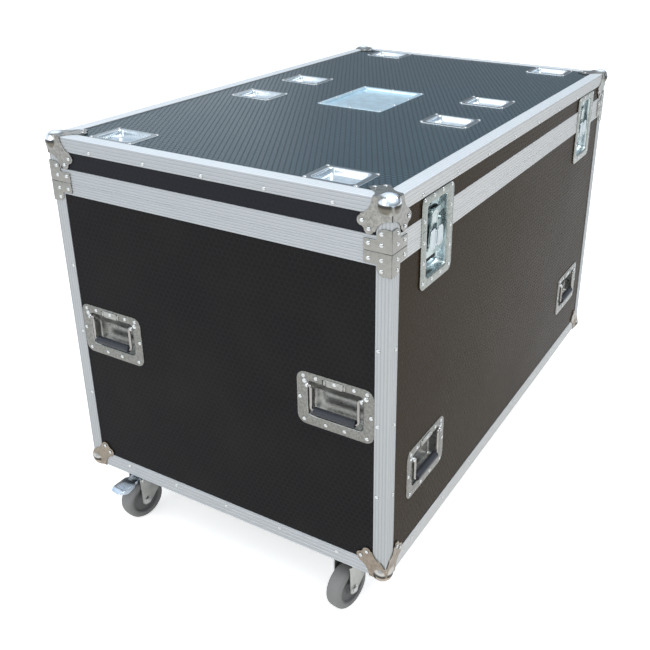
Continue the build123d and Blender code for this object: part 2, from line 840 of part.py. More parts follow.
# Handle, in a frame with X across, Y up and Z out; the panel face lies one edging wall behind 0
panel_out = -edging_wall
flange_out = panel_out + handle_sheet
handle_floor = panel_out - handle_pan_depth
pan_half = handle_pan_width / 2
pan_mid = (handle_pan_up - handle_pan_down) / 2
pan_height = handle_pan_up + handle_pan_down
pan_slope = (handle_pan_up - handle_pan_back_up) / handle_pan_depth


def pan_side(grow):
    """Side view of the handle pan: its depth is X and its height is Y."""
    back_out = handle_floor - grow
    mouth_up = handle_pan_up + grow
    top_out = flange_out + cut_overrun
    low = -handle_pan_down - grow
    rise = pan_slope * (top_out - panel_out)
    return [
        (top_out, low),
        (back_out, low),
        (back_out, handle_pan_back_up + grow),
        (top_out, mouth_up + rise),
    ]


def pan_body(grow):
    block = Pos(0, pan_mid, handle_floor - grow) * rounded_plate(
        handle_pan_width + 2 * grow,
        pan_height + 2 * grow,
        handle_pan_corner + grow,
        flange_out - handle_floor + grow + cut_overrun,
    )
    side_plane = Plane(origin=(0, 0, 0), x_dir=(0, 0, 1), z_dir=(-1, 0, 0))
    wedge = extrude(side_plane * outline(pan_side(grow)), amount=handle_dish_width / 2, both=True)
    return block & wedge


handle_flange = Pos(0, 0, panel_out) * rounded_plate(
    handle_dish_width, handle_dish_height, handle_dish_corner, handle_sheet
)
pan_shell = pan_body(handle_sheet) - span_box(
    (-handle_dish_width, handle_dish_width),
    (-handle_dish_height, handle_dish_height),
    (flange_out, flange_out + handle_pan_depth),
)
bail_pivot_out = flange_out + bail_pivot_rise
handle_dish = handle_flange + pan_shell - pan_body(0)
ear_back_out = bail_pivot_out - ear_block_reach
for side in (-1, 1):
    near_face = side * (pan_half - ear_block_thickness)
    far_face = side * pan_half
    handle_dish += span_box(
        (min(near_face, far_face), max(near_face, far_face)),
        (bail_pivot_up - ear_block_reach, bail_pivot_up + ear_block_reach),
        (ear_back_out, flange_out),
    )
    outer_face = side * (pan_half + handle_sheet)
    handle_dish += span_box(
        (min(near_face, outer_face), max(near_face, outer_face)),
        (bail_pivot_up - ear_block_reach, bail_pivot_up + ear_block_reach),
        (panel_out, bail_pivot_out + bail_radius + ear_block_cover),
    )
handle_dish -= Pos(0, bail_pivot_up, bail_pivot_out) * Rot(0, 90, 0) * Cylinder(
    bail_radius + running_gap, handle_pan_width
)
spring_cover = Pos(
    0, handle_dish_height / 2 - spring_cover_height / 2 - handle_rivet_side_inset / 2, flange_out
) * Box(
    spring_cover_width, spring_cover_height, spring_cover_thickness,
    align=(Align.CENTER, Align.CENTER, Align.MIN),
)

grip_out = panel_out + bail_grip_rise
bail_end = pan_half - moving_gap
bail_path = FilletPolyline(
    (-bail_end, bail_pivot_up, bail_pivot_out),
    (-bail_arm_offset, bail_pivot_up, bail_pivot_out),
    (-bail_arm_offset, -bail_grip_down, grip_out),
    (bail_arm_offset, -bail_grip_down, grip_out),
    (bail_arm_offset, bail_pivot_up, bail_pivot_out),
    (bail_end, bail_pivot_up, bail_pivot_out),
    radius=bail_bend_radius,
)
bail_section = Plane(origin=bail_path @ 0, z_dir=bail_path % 0) * Circle(bail_radius)
bail = sweep(bail_section, path=bail_path)
grip = fillet(Cylinder(grip_radius, grip_length).edges(), grip_edge)
grip -= Cylinder(bail_radius, grip_length + cut_overrun)
grip = Pos(0, -bail_grip_down, grip_out) * Rot(0, 90, 0) * grip

handle_pans = [place * handle_dish for place in handle_places.values()]
write_node("handle_dishes", handle_pans + [place * spring_cover for place in handle_places.values()])
for handle_name, place in handle_places.items():
    write_node(f"handle_bail_{handle_name}", [place * bail])
    write_node(f"handle_grip_{handle_name}", [place * grip])

# Hinges on the back, in a frame with X across, Y up from the seam and Z out
hinge_places = [
    spot(back, across, seam_z + seam_gap / 2) for across in (-hinge_offset, 0, hinge_offset)
]
knuckle_out = knuckle_radius + knuckle_standoff
knuckle_third = hinge_width / 3
knuckle_axis = Pos(0, 0, knuckle_out) * Rot(0, 90, 0)
lid_knuckle_half = knuckle_third / 2 - moving_gap / 2
leaf_half = hinge_width / 2


def leaf(direction):
    low, high = sorted((direction * seam_gap / 2, direction * hinge_leaf_height))
    return span_box((-leaf_half, leaf_half), (low, high), (0, hinge_leaf_thickness))


def knuckle(low, high, radius):
    return Pos((low + high) / 2, 0, 0) * knuckle_axis * Cylinder(radius, high - low)


def knuckle_bridge(low, high, direction):
    ends = sorted((direction * seam_gap, direction * knuckle_radius * 2))
    return span_box((low, high), ends, (0, hinge_leaf_thickness))


bridge_reach = knuckle_out - knuckle_radius / 2
base_leaf = leaf(-1)
lid_leaf = leaf(1)
outer_low = knuckle_third / 2 + moving_gap / 2
lid_knuckle = knuckle(-lid_knuckle_half, lid_knuckle_half, knuckle_radius)
base_knuckles = knuckle(-leaf_half, -outer_low, knuckle_radius)
base_knuckles += knuckle(outer_low, leaf_half, knuckle_radius)
base_relief = knuckle(-outer_low, outer_low, knuckle_radius + knuckle_standoff)
lid_relief = knuckle(-leaf_half - cut_overrun, -lid_knuckle_half, knuckle_radius + knuckle_standoff)
lid_relief += knuckle(lid_knuckle_half, leaf_half + cut_overrun, knuckle_radius + knuckle_standoff)
pin_bore = knuckle(-leaf_half - cut_overrun, leaf_half + cut_overrun, hinge_pin_radius + running_gap)
base_leaf = (base_leaf - base_relief) + base_knuckles - pin_bore
lid_leaf = (lid_leaf - lid_relief) + lid_knuckle - pin_bore
hinge_pin = knuckle(-leaf_half, leaf_half, hinge_pin_radius)
hinge_pin += knuckle(-leaf_half - hinge_pin_head_length, -leaf_half, hinge_pin_head_radius)
hinge_pin += knuckle(leaf_half, leaf_half + hinge_pin_head_length, hinge_pin_head_radius)
write_node("hinge_base_leaves", [place * base_leaf for place in hinge_places])
write_node("hinge_lid_leaves", [place * lid_leaf for place in hinge_places])
write_node("hinge_pins", [place * hinge_pin for place in hinge_places])

# Castors, in a frame with the kingpin at 0, the trail along +X and Z from the floor
board_half = board_size / 2


def board_at(side_x, side_y, corner_frame):
    centre_x = side_x * castor_offset_x
    centre_y = side_y * castor_offset_y
    board = span_box(
        (centre_x - board_half, centre_x + board_half),
        (centre_y - board_half, centre_y + board_half),
        (castor_height, case_under),
    )
    clear_x = half_length - bottom_edging_flange - moving_gap
    clear_y = half_depth - bottom_edging_flange - moving_gap
    step_x = sorted((centre_x - side_x * board_half, side_x * min(clear_x, castor_offset_x + board_half)))
    step_y = sorted((centre_y - side_y * board_half, side_y * min(clear_y, castor_offset_y + board_half)))
    board += span_box(step_x, step_y, (case_under, skin_under))
    pocket_reach = lobe_arc_centre + panel_cut_clearance
    pocket_depth = lobe_plate + rivet_head_height + panel_cut_clearance
    return board - corner_frame * span_box(
        (-cut_overrun, pocket_reach), (-cut_overrun, pocket_reach), (-pocket_depth, edging_wall)
    )


castor_places = {
    "front_left": (-1, -1, free_castor_heading, False),
    "front_right": (1, -1, braked_castor_heading + 180, True),
    "back_right": (1, 1, free_castor_heading + 180, False),
    "back_left": (-1, 1, braked_castor_heading, True),
}
plate_under = castor_height - plate_thickness
race_under = plate_under - race_height
crown_top = race_under - moving_gap
crown_plate_top = crown_top - crown_cup_height
crown_under = crown_plate_top - crown_thickness
kingpin_end = crown_under - moving_gap - kingpin_head_height
leg_inner = wheel_width / 2 + leg_gap
leg_outer = leg_inner + leg_thickness

castor_plate = Pos(0, 0, plate_under) * rounded_plate(
    plate_length, plate_width, plate_corner, plate_thickness
)
castor_plate += Pos(0, 0, race_under + race_height / 2) * Cylinder(race_radius, race_height)
kingpin_length = race_under - kingpin_end
castor_plate += Pos(0, 0, kingpin_end + kingpin_length / 2) * Cylinder(
    kingpin_radius, kingpin_length
)
castor_plate += Pos(0, 0, kingpin_end + kingpin_head_height / 2) * Cylinder(
    kingpin_head_radius, kingpin_head_height
)
bolt_places = [
    Pos(side_x * bolt_spacing_x / 2, side_y * bolt_spacing_y / 2, 0)
    for side_x in (-1, 1)
    for side_y in (-1, 1)
]
for place in bolt_places:
    castor_plate -= place * Pos(0, 0, castor_height) * Cylinder(
        bolt_radius + running_gap, 2 * plate_thickness + cut_overrun
    )
bolt_length = case_under - moving_gap - plate_under
bolt = Pos(0, 0, plate_under + bolt_length / 2) * Cylinder(bolt_radius, bolt_length)
bolt += Pos(0, 0, plate_under - bolt_head_height) * extrude(
    RegularPolygon(bolt_head_radius, 6), amount=bolt_head_height
)

fork_leg_face = outline(
    [
        (-leg_front, crown_plate_top),
        (leg_back, crown_plate_top),
        (leg_back, crown_under),
        (wheel_trail + leg_foot_radius, wheel_radius),
        (wheel_trail - leg_foot_radius, wheel_radius),
        (-leg_front, crown_under - leg_apron),
    ]
)
fork_leg_face += Pos(wheel_trail, wheel_radius) * Circle(leg_foot_radius)
fork_plane = Plane(origin=(0, 0, 0), x_dir=(1, 0, 0), z_dir=(0, -1, 0))
fork_leg = extrude(fork_plane * fork_leg_face, amount=leg_thickness)
pedal_axis_z = crown_under
fork = Pos(0, -leg_inner, 0) * fork_leg + Pos(0, leg_outer, 0) * fork_leg
fork += span_box(
    (-leg_front, pedal_pivot_reach - pedal_barrel_radius - leg_gap),
    (-leg_inner, leg_inner),
    (crown_under, crown_plate_top),
)
fork += Pos(0, 0, crown_plate_top + crown_cup_height / 2) * Cylinder(
    crown_cup_radius, crown_cup_height
)
fork -= Pos(0, 0, crown_under) * Cylinder(kingpin_radius + running_gap, castor_height)
axle_place = Pos(wheel_trail, 0, wheel_radius) * Rot(90, 0, 0)
fork -= axle_place * Cylinder(axle_radius + running_gap, 2 * leg_outer + cut_overrun)
axle = axle_place * Cylinder(axle_radius, 2 * leg_outer)
for side in (-1, 1):
    axle += axle_place * Pos(0, 0, side * (leg_outer + axle_head_height / 2)) * extrude(
        RegularPolygon(axle_head_radius, 6), amount=axle_head_height / 2, both=True
    )
pedal_place = Pos(pedal_pivot_reach, 0, pedal_axis_z)
braked_fork = fork + pedal_place * Rot(90, 0, 0) * Cylinder(pedal_pivot_radius, 2 * leg_outer)

half_width = wheel_width / 2
tyre_profile = Pos((tyre_inner_radius + wheel_radius) / 2, 0) * Rectangle(
    wheel_radius - tyre_inner_radius, wheel_width
)
tyre_profile = fillet(tyre_profile.vertices().group_by(Axis.X)[-1], tyre_shoulder)
tyre = revolve(Plane.XZ * tyre_profile, Axis.Z)
core = Cylinder(tyre_inner_radius, wheel_width)
web_ring = Cylinder(core_rim_radius, wheel_width) - Cylinder(core_hub_radius, wheel_width)
for side in (-1, 1):
    core -= Pos(0, 0, side * (wheel_width - core_web_recess)) * web_ring
core -= Cylinder(axle_radius + running_gap, wheel_width + cut_overrun)

pedal_knee_z = pedal_axis_z - pedal_knee_drop
pedal_tip_z = pedal_axis_z - pedal_tip_drop
pedal_start = pedal_pivot_reach
pedal_face = outline(
    [
        (pedal_start, pedal_axis_z),
        (pedal_start, pedal_axis_z + pedal_barrel_radius),
        (pedal_knee_reach, pedal_knee_z + pedal_barrel_radius),
        (pedal_tip_reach, pedal_tip_z + pedal_barrel_radius),
        (pedal_tip_reach, pedal_tip_z + pedal_barrel_radius - pedal_thickness),
        (pedal_knee_reach, pedal_knee_z + pedal_barrel_radius - pedal_thickness),
        (pedal_start + pedal_barrel_radius, pedal_axis_z + pedal_barrel_radius - pedal_thickness),
    ]
)
pedal_wing = span_box(
    (pedal_blade_start, pedal_tip_reach),
    (-pedal_blade_width / 2, pedal_blade_width / 2),
    (wheel_radius, pedal_axis_z + pedal_barrel_radius),
)
pedal_arm = Pos(0, pedal_width / 2, 0) * extrude(fork_plane * pedal_face, amount=pedal_width)
pedal_blade = Pos(0, pedal_blade_width / 2, 0) * extrude(
    fork_plane * pedal_face, amount=pedal_blade_width
)
pedal = pedal_arm + (pedal_blade & pedal_wing)
pedal_slope_share = (pedal_flange_start - pedal_start) / (pedal_knee_reach - pedal_start)
pedal_flange_top = pedal_axis_z + pedal_barrel_radius - pedal_knee_drop * pedal_slope_share
pedal_flange_face = outline(
    [
        (pedal_flange_start, pedal_flange_top - pedal_thickness / 2),
        (pedal_knee_reach, pedal_knee_z + pedal_barrel_radius - pedal_thickness / 2),
        (pedal_knee_reach, pedal_knee_z + pedal_barrel_radius - pedal_flange_end_drop),
        (pedal_flange_low, pedal_flange_top - pedal_flange_deep_drop),
        (pedal_flange_start, pedal_flange_top - pedal_flange_drop),
    ]
)
pedal_flange = extrude(fork_plane * pedal_flange_face, amount=pedal_thickness)
pedal += Pos(0, pedal_blade_width / 2, 0) * pedal_flange
pedal += Pos(0, pedal_thickness - pedal_blade_width / 2, 0) * pedal_flange
pedal += pedal_place * Rot(90, 0, 0) * Cylinder(pedal_barrel_radius, pedal_width)
shoe_low = wheel_radius + sqrt(
    (wheel_radius + pedal_shoe_gap) ** 2 - (pedal_shoe_reach - pedal_shoe_length / 2 - wheel_trail) ** 2
)
pedal += span_box(
    (pedal_shoe_reach - pedal_shoe_length / 2, pedal_shoe_reach + pedal_shoe_length / 2),
    (-pedal_width / 2, pedal_width / 2),
    (shoe_low, pedal_axis_z + pedal_barrel_radius - pedal_thickness),
)
pedal -= pedal_place * Rot(90, 0, 0) * Cylinder(pedal_pivot_radius + running_gap, 2 * leg_outer)

boards, plates = [], []
wheel_place = axle_place
corner_frames = dict(zip(castor_places, low_corner_frames(case_under)))
for castor_name, (side_x, side_y, heading, braked) in castor_places.items():
    frame = Pos(side_x * castor_offset_x, side_y * castor_offset_y, 0)
    turned = frame * Rot(0, 0, heading)
    board = board_at(side_x, side_y, corner_frames[castor_name])
    for place in bolt_places:
        board -= frame * place * Pos(0, 0, castor_height + board_thickness / 2) * Cylinder(
            bolt_radius + running_gap, 2 * board_thickness
        )
        plates.append(frame * place * bolt)
    boards.append(board)
    plates.append(frame * castor_plate)
    write_node(f"castor_fork_{castor_name}", [turned * (braked_fork if braked else fork), turned * axle])
    write_node(f"castor_wheel_{castor_name}", [turned * wheel_place * tyre, turned * wheel_place * core])
    if braked:
        write_node(f"brake_pedal_{castor_name}", [turned * pedal])
write_node("castor_boards", boards)
write_node("castor_plates", plates)

# Rivets
def edging_rivet_run(length):
    span = length - 2 * edging_rivet_end
    count = max(1, ceil(span / edging_rivet_pitch))
    return [-span / 2 + span * index / count for index in range(count + 1)]


base_rivets, lid_rivets = [], []
brace_spots = [
    (brace_rivet_column, brace_rivet_low),
    (brace_rivet_column, brace_rivet_high),
    (brace_rivet_wide_column, brace_rivet_low),
]
brace_groups = [(low_corner_frames(lid_under), lid_rivets), (high_corner_frames(seam_z), base_rivets)]
for frames, rivets in brace_groups:
    for frame in frames:
        for column, height in brace_spots:
            on_front = Plane(origin=(column, -brace_plate, height), z_dir=(0, -1, 0))
            on_side = Plane(origin=(-brace_plate, column, height), z_dir=(-1, 0, 0))
            rivets.append(frame * on_front.location * rivet)
            rivets.append(frame * on_side.location * rivet)
lobe_spots = [(lobe_rivet_far, lobe_rivet_near), (lobe_rivet_near, lobe_rivet_far)]
for frames, rivets in (
    (low_corner_frames(case_under), base_rivets),
    (high_corner_frames(case_top), lid_rivets),
):
    for frame in frames:
        for corner_plane in corner_planes:
            for first, second in lobe_spots:
                head = corner_plane.location * Pos(first, second, -lobe_plate) * Rot(180, 0, 0)
                rivets.append(frame * head * rivet)
latch_rivet_x = latch_dish_width / 2 - latch_rivet_inset
for place in latch_places.values():
    for step in range(5):
        rise = latch_rivet_top - latch_rivet_pitch * step
        for side in (-1, 1):
            rivets = lid_rivets if rise > 0 else base_rivets
            rivets.append(place * Pos(side * latch_rivet_x, rise, latch_sheet) * rivet)
    for side in (-1, 1):
        third = latch_rivet_x / 3
        low_row = latch_rivet_inset - latch_dish_down
        lid_rivets.append(place * Pos(side * third, latch_rivet_top, latch_sheet) * rivet)
        base_rivets.append(place * Pos(side * third, low_row, latch_sheet) * rivet)
handle_rivet_x = handle_dish_width / 2 - handle_rivet_inset_x
handle_rivet_z = handle_dish_height / 2 - handle_rivet_inset_z
handle_spots = [
    (side * handle_rivet_x, up * handle_rivet_z, 0) for side in (-1, 1) for up in (-1, 1)
]
handle_spots += [(side * handle_rivet_top_pitch, handle_rivet_z, 0) for side in (-1, 1)]
handle_spots += [(side * handle_rivet_bottom_pitch / 2, -handle_rivet_z, 0) for side in (-1, 1)]
handle_side_x = handle_dish_width / 2 - handle_rivet_side_inset
handle_spots += [(side * handle_side_x, 0, 0) for side in (-1, 1)]
handle_spots += [(0, handle_rivet_z, spring_cover_thickness)]
for place in handle_places.values():
    for across, up, lift in handle_spots:
        base_rivets.append(place * Pos(across, up, flange_out + lift) * rivet)
for place in castor_dish_places:
    for side_x in (-1, 1):
        for side_y in (-1, 1):
            lid_rivets.append(
                place
                * Pos(
                    side_x * (castor_dish_length / 2 - castor_dish_rivet_inset),
                    side_y * (castor_dish_width / 2 - castor_dish_rivet_inset),
                    castor_dish_sheet,
                )
                * rivet
            )
label_x = label_dish_length / 2 - label_rivet_inset
label_y = label_dish_width / 2 - label_rivet_inset
label_spots = [(side_x * label_x, side_y * label_y) for side_x in (-1, 1) for side_y in (-1, 1)]
label_spots += [
    (side_x * label_rivet_pitch / 2, side_y * label_y) for side_x in (-1, 1) for side_y in (-1, 1)
]
label_spots += [(side * label_x, 0) for side in (-1, 1)]
for across, up in label_spots:
    lid_rivets.append(Pos(across, up, skin_top + label_dish_sheet) * rivet)
upright_low = case_under + bottom_edging_flange
upright_height = seam_z - base_rail_height - upright_low
upright_middle = upright_low + upright_height / 2
case_faces = [(front, half_length), (back, half_length), (left, half_depth), (right, half_depth)]
for plane, half_width in case_faces:
    for across in edging_rivet_run(2 * half_width):
        base_rivets.append(spot(plane, across, case_under + edging_rivet_inset) * rivet)
        lid_rivets.append(spot(plane, across, case_top - edging_rivet_inset) * rivet)
    for side in (-1, 1):
        for step in (-1, 0, 1):
            height = upright_middle + step * edging_rivet_pitch
            inset = side * (half_width - edging_rivet_inset)
            base_rivets.append(spot(plane, inset, height) * rivet)
for place in hinge_places:
    for side in (-1, 0, 1):
        across = side * hinge_rivet_spread
        lid_rivets.append(place * Pos(across, hinge_rivet_rise, hinge_leaf_thickness) * rivet)
        base_rivets.append(place * Pos(across, -hinge_rivet_rise, hinge_leaf_thickness) * rivet)
write_node("lid_rivets", lid_rivets)
write_node("base_rivets", base_rivets)
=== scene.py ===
import bpy
import bmesh
import json
import math
import numpy as np
from mathutils import Matrix, Vector


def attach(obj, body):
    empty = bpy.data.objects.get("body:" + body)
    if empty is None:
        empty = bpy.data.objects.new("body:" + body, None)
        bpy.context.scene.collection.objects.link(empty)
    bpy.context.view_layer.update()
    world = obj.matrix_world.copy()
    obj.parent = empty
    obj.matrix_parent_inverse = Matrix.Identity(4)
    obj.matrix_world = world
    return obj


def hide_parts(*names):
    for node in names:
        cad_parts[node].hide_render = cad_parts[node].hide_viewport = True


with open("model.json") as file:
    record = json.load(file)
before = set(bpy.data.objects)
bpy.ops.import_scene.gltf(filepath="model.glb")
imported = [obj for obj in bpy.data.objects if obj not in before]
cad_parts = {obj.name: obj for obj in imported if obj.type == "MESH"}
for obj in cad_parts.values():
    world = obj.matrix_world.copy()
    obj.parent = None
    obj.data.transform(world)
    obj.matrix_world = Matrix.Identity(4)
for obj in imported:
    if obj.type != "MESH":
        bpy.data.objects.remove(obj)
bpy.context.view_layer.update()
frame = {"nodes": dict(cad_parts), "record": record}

# The case is in millimetres; the camera, the lamps and the floor are in metres
MM = 0.001
HALF_X, HALF_Y = 642.5, 400.0
UNDER, SEAM, TOP = 144.0, 853.0, 949.0
LID_UNDER = SEAM + 0.6
TOP_PANEL = 947.2
BASE_FLANGE, LID_FLANGE, UPRIGHT_FLANGE = 36.0, 30.0, 30.0
GROOVE_RAIL, TONGUE_RAIL, RAIL_REACH = 26.0, 28.4, 12.8
METAL_WALL = 1.8
BALL_CENTRE, BALL_RADIUS = 12.0, 20.5
UPRIGHT_FOOT, V_FOOT = 25.0, 27.0
LATCH_ACROSS = 465.0

ORIGIN = (0, 0, 0)
X, Y, Z = (1, 0, 0), (0, 1, 0), (0, 0, 1)

# Camera, solved from the photograph's straight edges
camera_data = bpy.data.cameras.new("camera")
camera = bpy.data.objects.new("camera", camera_data)
bpy.context.scene.collection.objects.link(camera)
camera_data.sensor_width = 36.0
camera_data.lens = 46.607
camera_data.shift_x = -0.07735
camera_data.shift_y = -0.08457
camera_data.clip_end = 60.0
cam_right = Vector((0.4874366, -0.8731078, 0.0094000))
cam_up = Vector((0.3504064, 0.2054621, 0.9137837))
cam_back = Vector((-0.7997630, -0.4421178, 0.4060923))
turn = Matrix((cam_right, cam_up, cam_back)).transposed().to_4x4()
camera.matrix_world = Matrix.Translation((-1.7827071, -0.9993464, 1.3984341)) @ turn
bpy.context.scene.camera = camera

scene = bpy.context.scene
scene.view_settings.view_transform = "Standard"


class Nodes:
    """Short way to build a node tree. A colour is given as red, green and blue."""

    def __init__(self, tree):
        self.tree = tree
        tree.nodes.clear()

    def add(self, kind, **settings):
        node = self.tree.nodes.new(kind)
        for name, value in settings.items():
            setattr(node, name, value)
        return node

    def put(self, socket, value):
        if isinstance(value, bpy.types.NodeSocket):
            self.tree.links.new(value, socket)
        elif socket.type == "RGBA" and len(value) == 3:
            socket.default_value = (*value, 1)
        else:
            socket.default_value = value

    def fill(self, node, **values):
        """Set or link inputs by name, with an underscore for each space."""
        for name, value in values.items():
            self.put(node.inputs[name.replace("_", " ")], value)
        return node

    def fill_in_order(self, node, values):
        for socket, value in zip(node.inputs, values):
            self.put(socket, value)
        return node

    def math(self, operation, *values):
        return self.fill_in_order(self.add("ShaderNodeMath", operation=operation), values).outputs[0]

    def vmath(self, operation, *values):
        node = self.fill_in_order(self.add("ShaderNodeVectorMath", operation=operation), values)
        return node.outputs["Value" if operation in ("DOT_PRODUCT", "LENGTH", "DISTANCE") else "Vector"]

    def line(self, value, factor, base):
        """Value times factor, plus base."""
        return self.math("ADD", self.math("MULTIPLY", value, factor), base)

    def mix(self, factor, low, high, kind="RGBA"):
        node = self.add("ShaderNodeMix", data_type=kind)
        first = {"FLOAT": 2, "VECTOR": 4, "RGBA": 6}[kind]
        self.put(node.inputs[0], factor)
        self.put(node.inputs[first], low)
        self.put(node.inputs[first + 1], high)
        return node.outputs[first // 2 - 1]

    def blend(self, factor, low, high):
        return self.mix(factor, low, high, "FLOAT")

    def smooth(self, value, low, high, to_low=0.0, to_high=1.0):
        node = self.add("ShaderNodeMapRange", interpolation_type="SMOOTHSTEP")
        return self.fill_in_order(node, (value, low, high, to_low, to_high)).outputs[0]

    def noise(self, vector, scale, detail, roughness=0.55):
        node = self.add("ShaderNodeTexNoise")
        return self.fill(node, Vector=vector, Scale=scale, Detail=detail, Roughness=roughness).outputs[0]

    def bump(self, height, distance):
        return self.fill(self.add("ShaderNodeBump"), Height=height, Distance=distance * MM).outputs[0]

    def split(self, vector):
        """The vector's three parts."""
        return self.fill_in_order(self.add("ShaderNodeSeparateXYZ"), (vector,)).outputs


def material(name):
    made = bpy.data.materials.new(name)
    made.use_nodes = True
    nodes = Nodes(made.node_tree)
    shader = nodes.add("ShaderNodeBsdfPrincipled")
    output = nodes.add("ShaderNodeOutputMaterial")
    nodes.fill(output, Surface=shader.outputs[0])
    return made, nodes, shader


def textured(name):
    """A material with the point and the normal of the case's own space."""
    made, nodes, shader = material(name)
    space = nodes.add("ShaderNodeTexCoord").outputs
    return made, nodes, shader, space["Object"], space["Normal"]


def shaded(colour, share):
    return tuple(channel * share for channel in colour)


def hex_uv(nodes, point, normal):
    """Plane coordinates on whichever flat face of the case a point is on."""
    x, y, z = nodes.split(point)
    facing = nodes.split(nodes.vmath("ABSOLUTE", normal))
    on_top = nodes.math("GREATER_THAN", facing[2], 0.7)
    on_end = nodes.math("GREATER_THAN", facing[0], 0.7)
    return nodes.blend(on_top, nodes.blend(on_end, x, y), y), nodes.blend(on_top, z, x)


def hex_edge(nodes, u, v, pitch):
    """Distance to the nearest cell wall, as a share of the pitch."""
    ratio = math.sqrt(3.0)
    scaled = [nodes.math("DIVIDE", part, pitch) for part in (u, v)]
    joined = nodes.fill_in_order(nodes.add("ShaderNodeCombineXYZ"), scaled)
    cell, half = (1.0, ratio, 1.0), (0.5, ratio / 2, 0.5)
    # The modulo needs positive coordinates
    shifted = nodes.vmath("ADD", joined.outputs[0], (100.0, 100 * ratio, 0.0))
    spots = []
    for start in (shifted, nodes.vmath("ADD", shifted, half)):
        spot = nodes.vmath("SUBTRACT", nodes.vmath("MODULO", start, cell), half)
        spots.append(nodes.vmath("MULTIPLY", spot, (1.0, 1.0, 0.0)))
    a, b = spots
    nearer = nodes.math("LESS_THAN", nodes.vmath("LENGTH", a), nodes.vmath("LENGTH", b))
    inside = nodes.vmath("ABSOLUTE", nodes.mix(nearer, b, a, "VECTOR"))
    slanted = nodes.vmath("DOT_PRODUCT", inside, (0.5, ratio / 2, 0.0))
    return nodes.math("SUBTRACT", 0.5, nodes.math("MAXIMUM", slanted, nodes.split(inside)[0]))


def make_laminate(name, gloss, tint):
    """Hexagon laminate on plywood, whose birch plies show where the faces end. Its face tones are painted
    light: a sky reflection on top, a warmer tone on the long sides, a lighter lid end, and cell walls painted
    light on the sides and dark on top.
    """
    made, nodes, shader, point, normal = textured(name)
    pitch = 12.33
    end_face, side_face, skin = 640.2, 397.7, 2.1
    edge = hex_edge(nodes, *hex_uv(nodes, point, normal), pitch * MM)
    wall = nodes.smooth(edge, 0.03, 0.12, 1.0, 0.0)
    dust = nodes.noise(point, 6.0, 5.0)
    grain = nodes.noise(point, 900.0, 2.0)
    x, y, z = nodes.split(point)
    facing = nodes.split(normal)
    upward = nodes.smooth(facing[2], 0.6, 0.9)
    on_end = nodes.smooth(nodes.math("ABSOLUTE", facing[0]), 0.6, 0.9)
    on_long = nodes.smooth(nodes.math("ABSOLUTE", facing[1]), 0.6, 0.9)

    settled = nodes.smooth(dust, 0.30, 0.80)
    tone = nodes.mix(settled, (0.0145, 0.0136, 0.0142), (0.0190, 0.0178, 0.0176))
    # Painted sky reflection: upward faces get a blue-grey tone
    painted_sky_reflection = nodes.mix(settled, (0.012, 0.036, 0.051), (0.017, 0.044, 0.062))
    tone = nodes.mix(upward, tone, painted_sky_reflection)
    # Painted reflection: the long sides get a warmer brown tone
    tone = nodes.mix(on_long, tone, (0.026, 0.0165, 0.0085))
    # Painted light: the lid's end faces get a lighter, bluer grey
    in_lid = nodes.math("GREATER_THAN", z, SEAM * MM)
    tone = nodes.mix(nodes.math("MULTIPLY", in_lid, on_end), tone, (0.022, 0.022, 0.026))
    # Painted light: cell walls are painted lighter on the sides as highlights and darker on top as shade
    drawn = nodes.math("MULTIPLY", wall, nodes.blend(upward, 0.45, 1.0))
    side_line_highlight = nodes.mix(on_long, (0.028, 0.027, 0.028), (0.072, 0.054, 0.036))
    painted_line_tone = nodes.mix(upward, side_line_highlight, (0.003, 0.003, 0.004))
    tone = nodes.mix(nodes.math("MULTIPLY", drawn, 0.8), tone, painted_line_tone)

    plies = nodes.noise(nodes.vmath("MULTIPLY", point, (8.0, 8.0, 60.0)), 3.0, 4.0)
    birch = nodes.mix(plies, (0.42, 0.28, 0.15), (0.62, 0.45, 0.27))
    beyond_end = nodes.math("GREATER_THAN", nodes.math("ABSOLUTE", x), end_face * MM)
    beyond_side = nodes.math("GREATER_THAN", nodes.math("ABSOLUTE", y), side_face * MM)
    below = nodes.math("LESS_THAN", z, (UNDER + skin) * MM)
    above = nodes.math("GREATER_THAN", z, (TOP - skin) * MM)
    beyond = nodes.math("MAXIMUM", beyond_end, beyond_side)
    outside = nodes.math("MAXIMUM", beyond, nodes.math("MAXIMUM", below, above))
    rough = nodes.math("ADD", nodes.math("MULTIPLY", dust, 0.14), nodes.blend(wall, 0.16, 0.45))
    relief = nodes.math("SUBTRACT", nodes.math("MULTIPLY", grain, 0.12), drawn)
    nodes.fill(
        shader,
        IOR=gloss,
        Specular_Tint=tint,
        Base_Color=nodes.mix(outside, birch, tone),
        Roughness=nodes.blend(outside, 0.62, rough),
        Normal=nodes.bump(nodes.blend(outside, plies, relief), 0.25),
    )
    return made


def make_metal(name, colour, roughness, smear, wave=0.0, scale=140.0, shade=0.86):
    """Metal with clouds in its colour, its roughness and its surface."""
    made, nodes, shader, point, _ = textured(name)
    cloud = nodes.noise(point, scale * 0.35, 4.0)
    fine = nodes.noise(point, scale * 6, 3.0)
    rough = nodes.line(nodes.math("SUBTRACT", cloud, 0.5), smear, roughness)
    height = nodes.math("ADD", nodes.math("MULTIPLY", fine, 0.1), nodes.math("MULTIPLY", cloud, wave))
    nodes.fill(
        shader,
        Metallic=1.0,
        Base_Color=nodes.mix(nodes.smooth(cloud, 0.3, 0.7), shaded(colour, shade), colour),
        Roughness=nodes.math("MAXIMUM", rough, 0.05),
        Normal=nodes.bump(height, 0.1),
    )
    return made


def make_plain(name, colour, roughness):
    """Rubber or paint with a faint grain."""
    made, nodes, shader, point, _ = textured(name)
    cloud = nodes.noise(point, 30.0, 4.0)
    fine = nodes.noise(point, 1200.0, 2.0)
    nodes.fill(
        shader,
        Base_Color=nodes.mix(cloud, shaded(colour, 0.75), colour),
        Roughness=nodes.line(cloud, 0.2, roughness - 0.1),
        Normal=nodes.bump(fine, 0.05),
    )
    return made


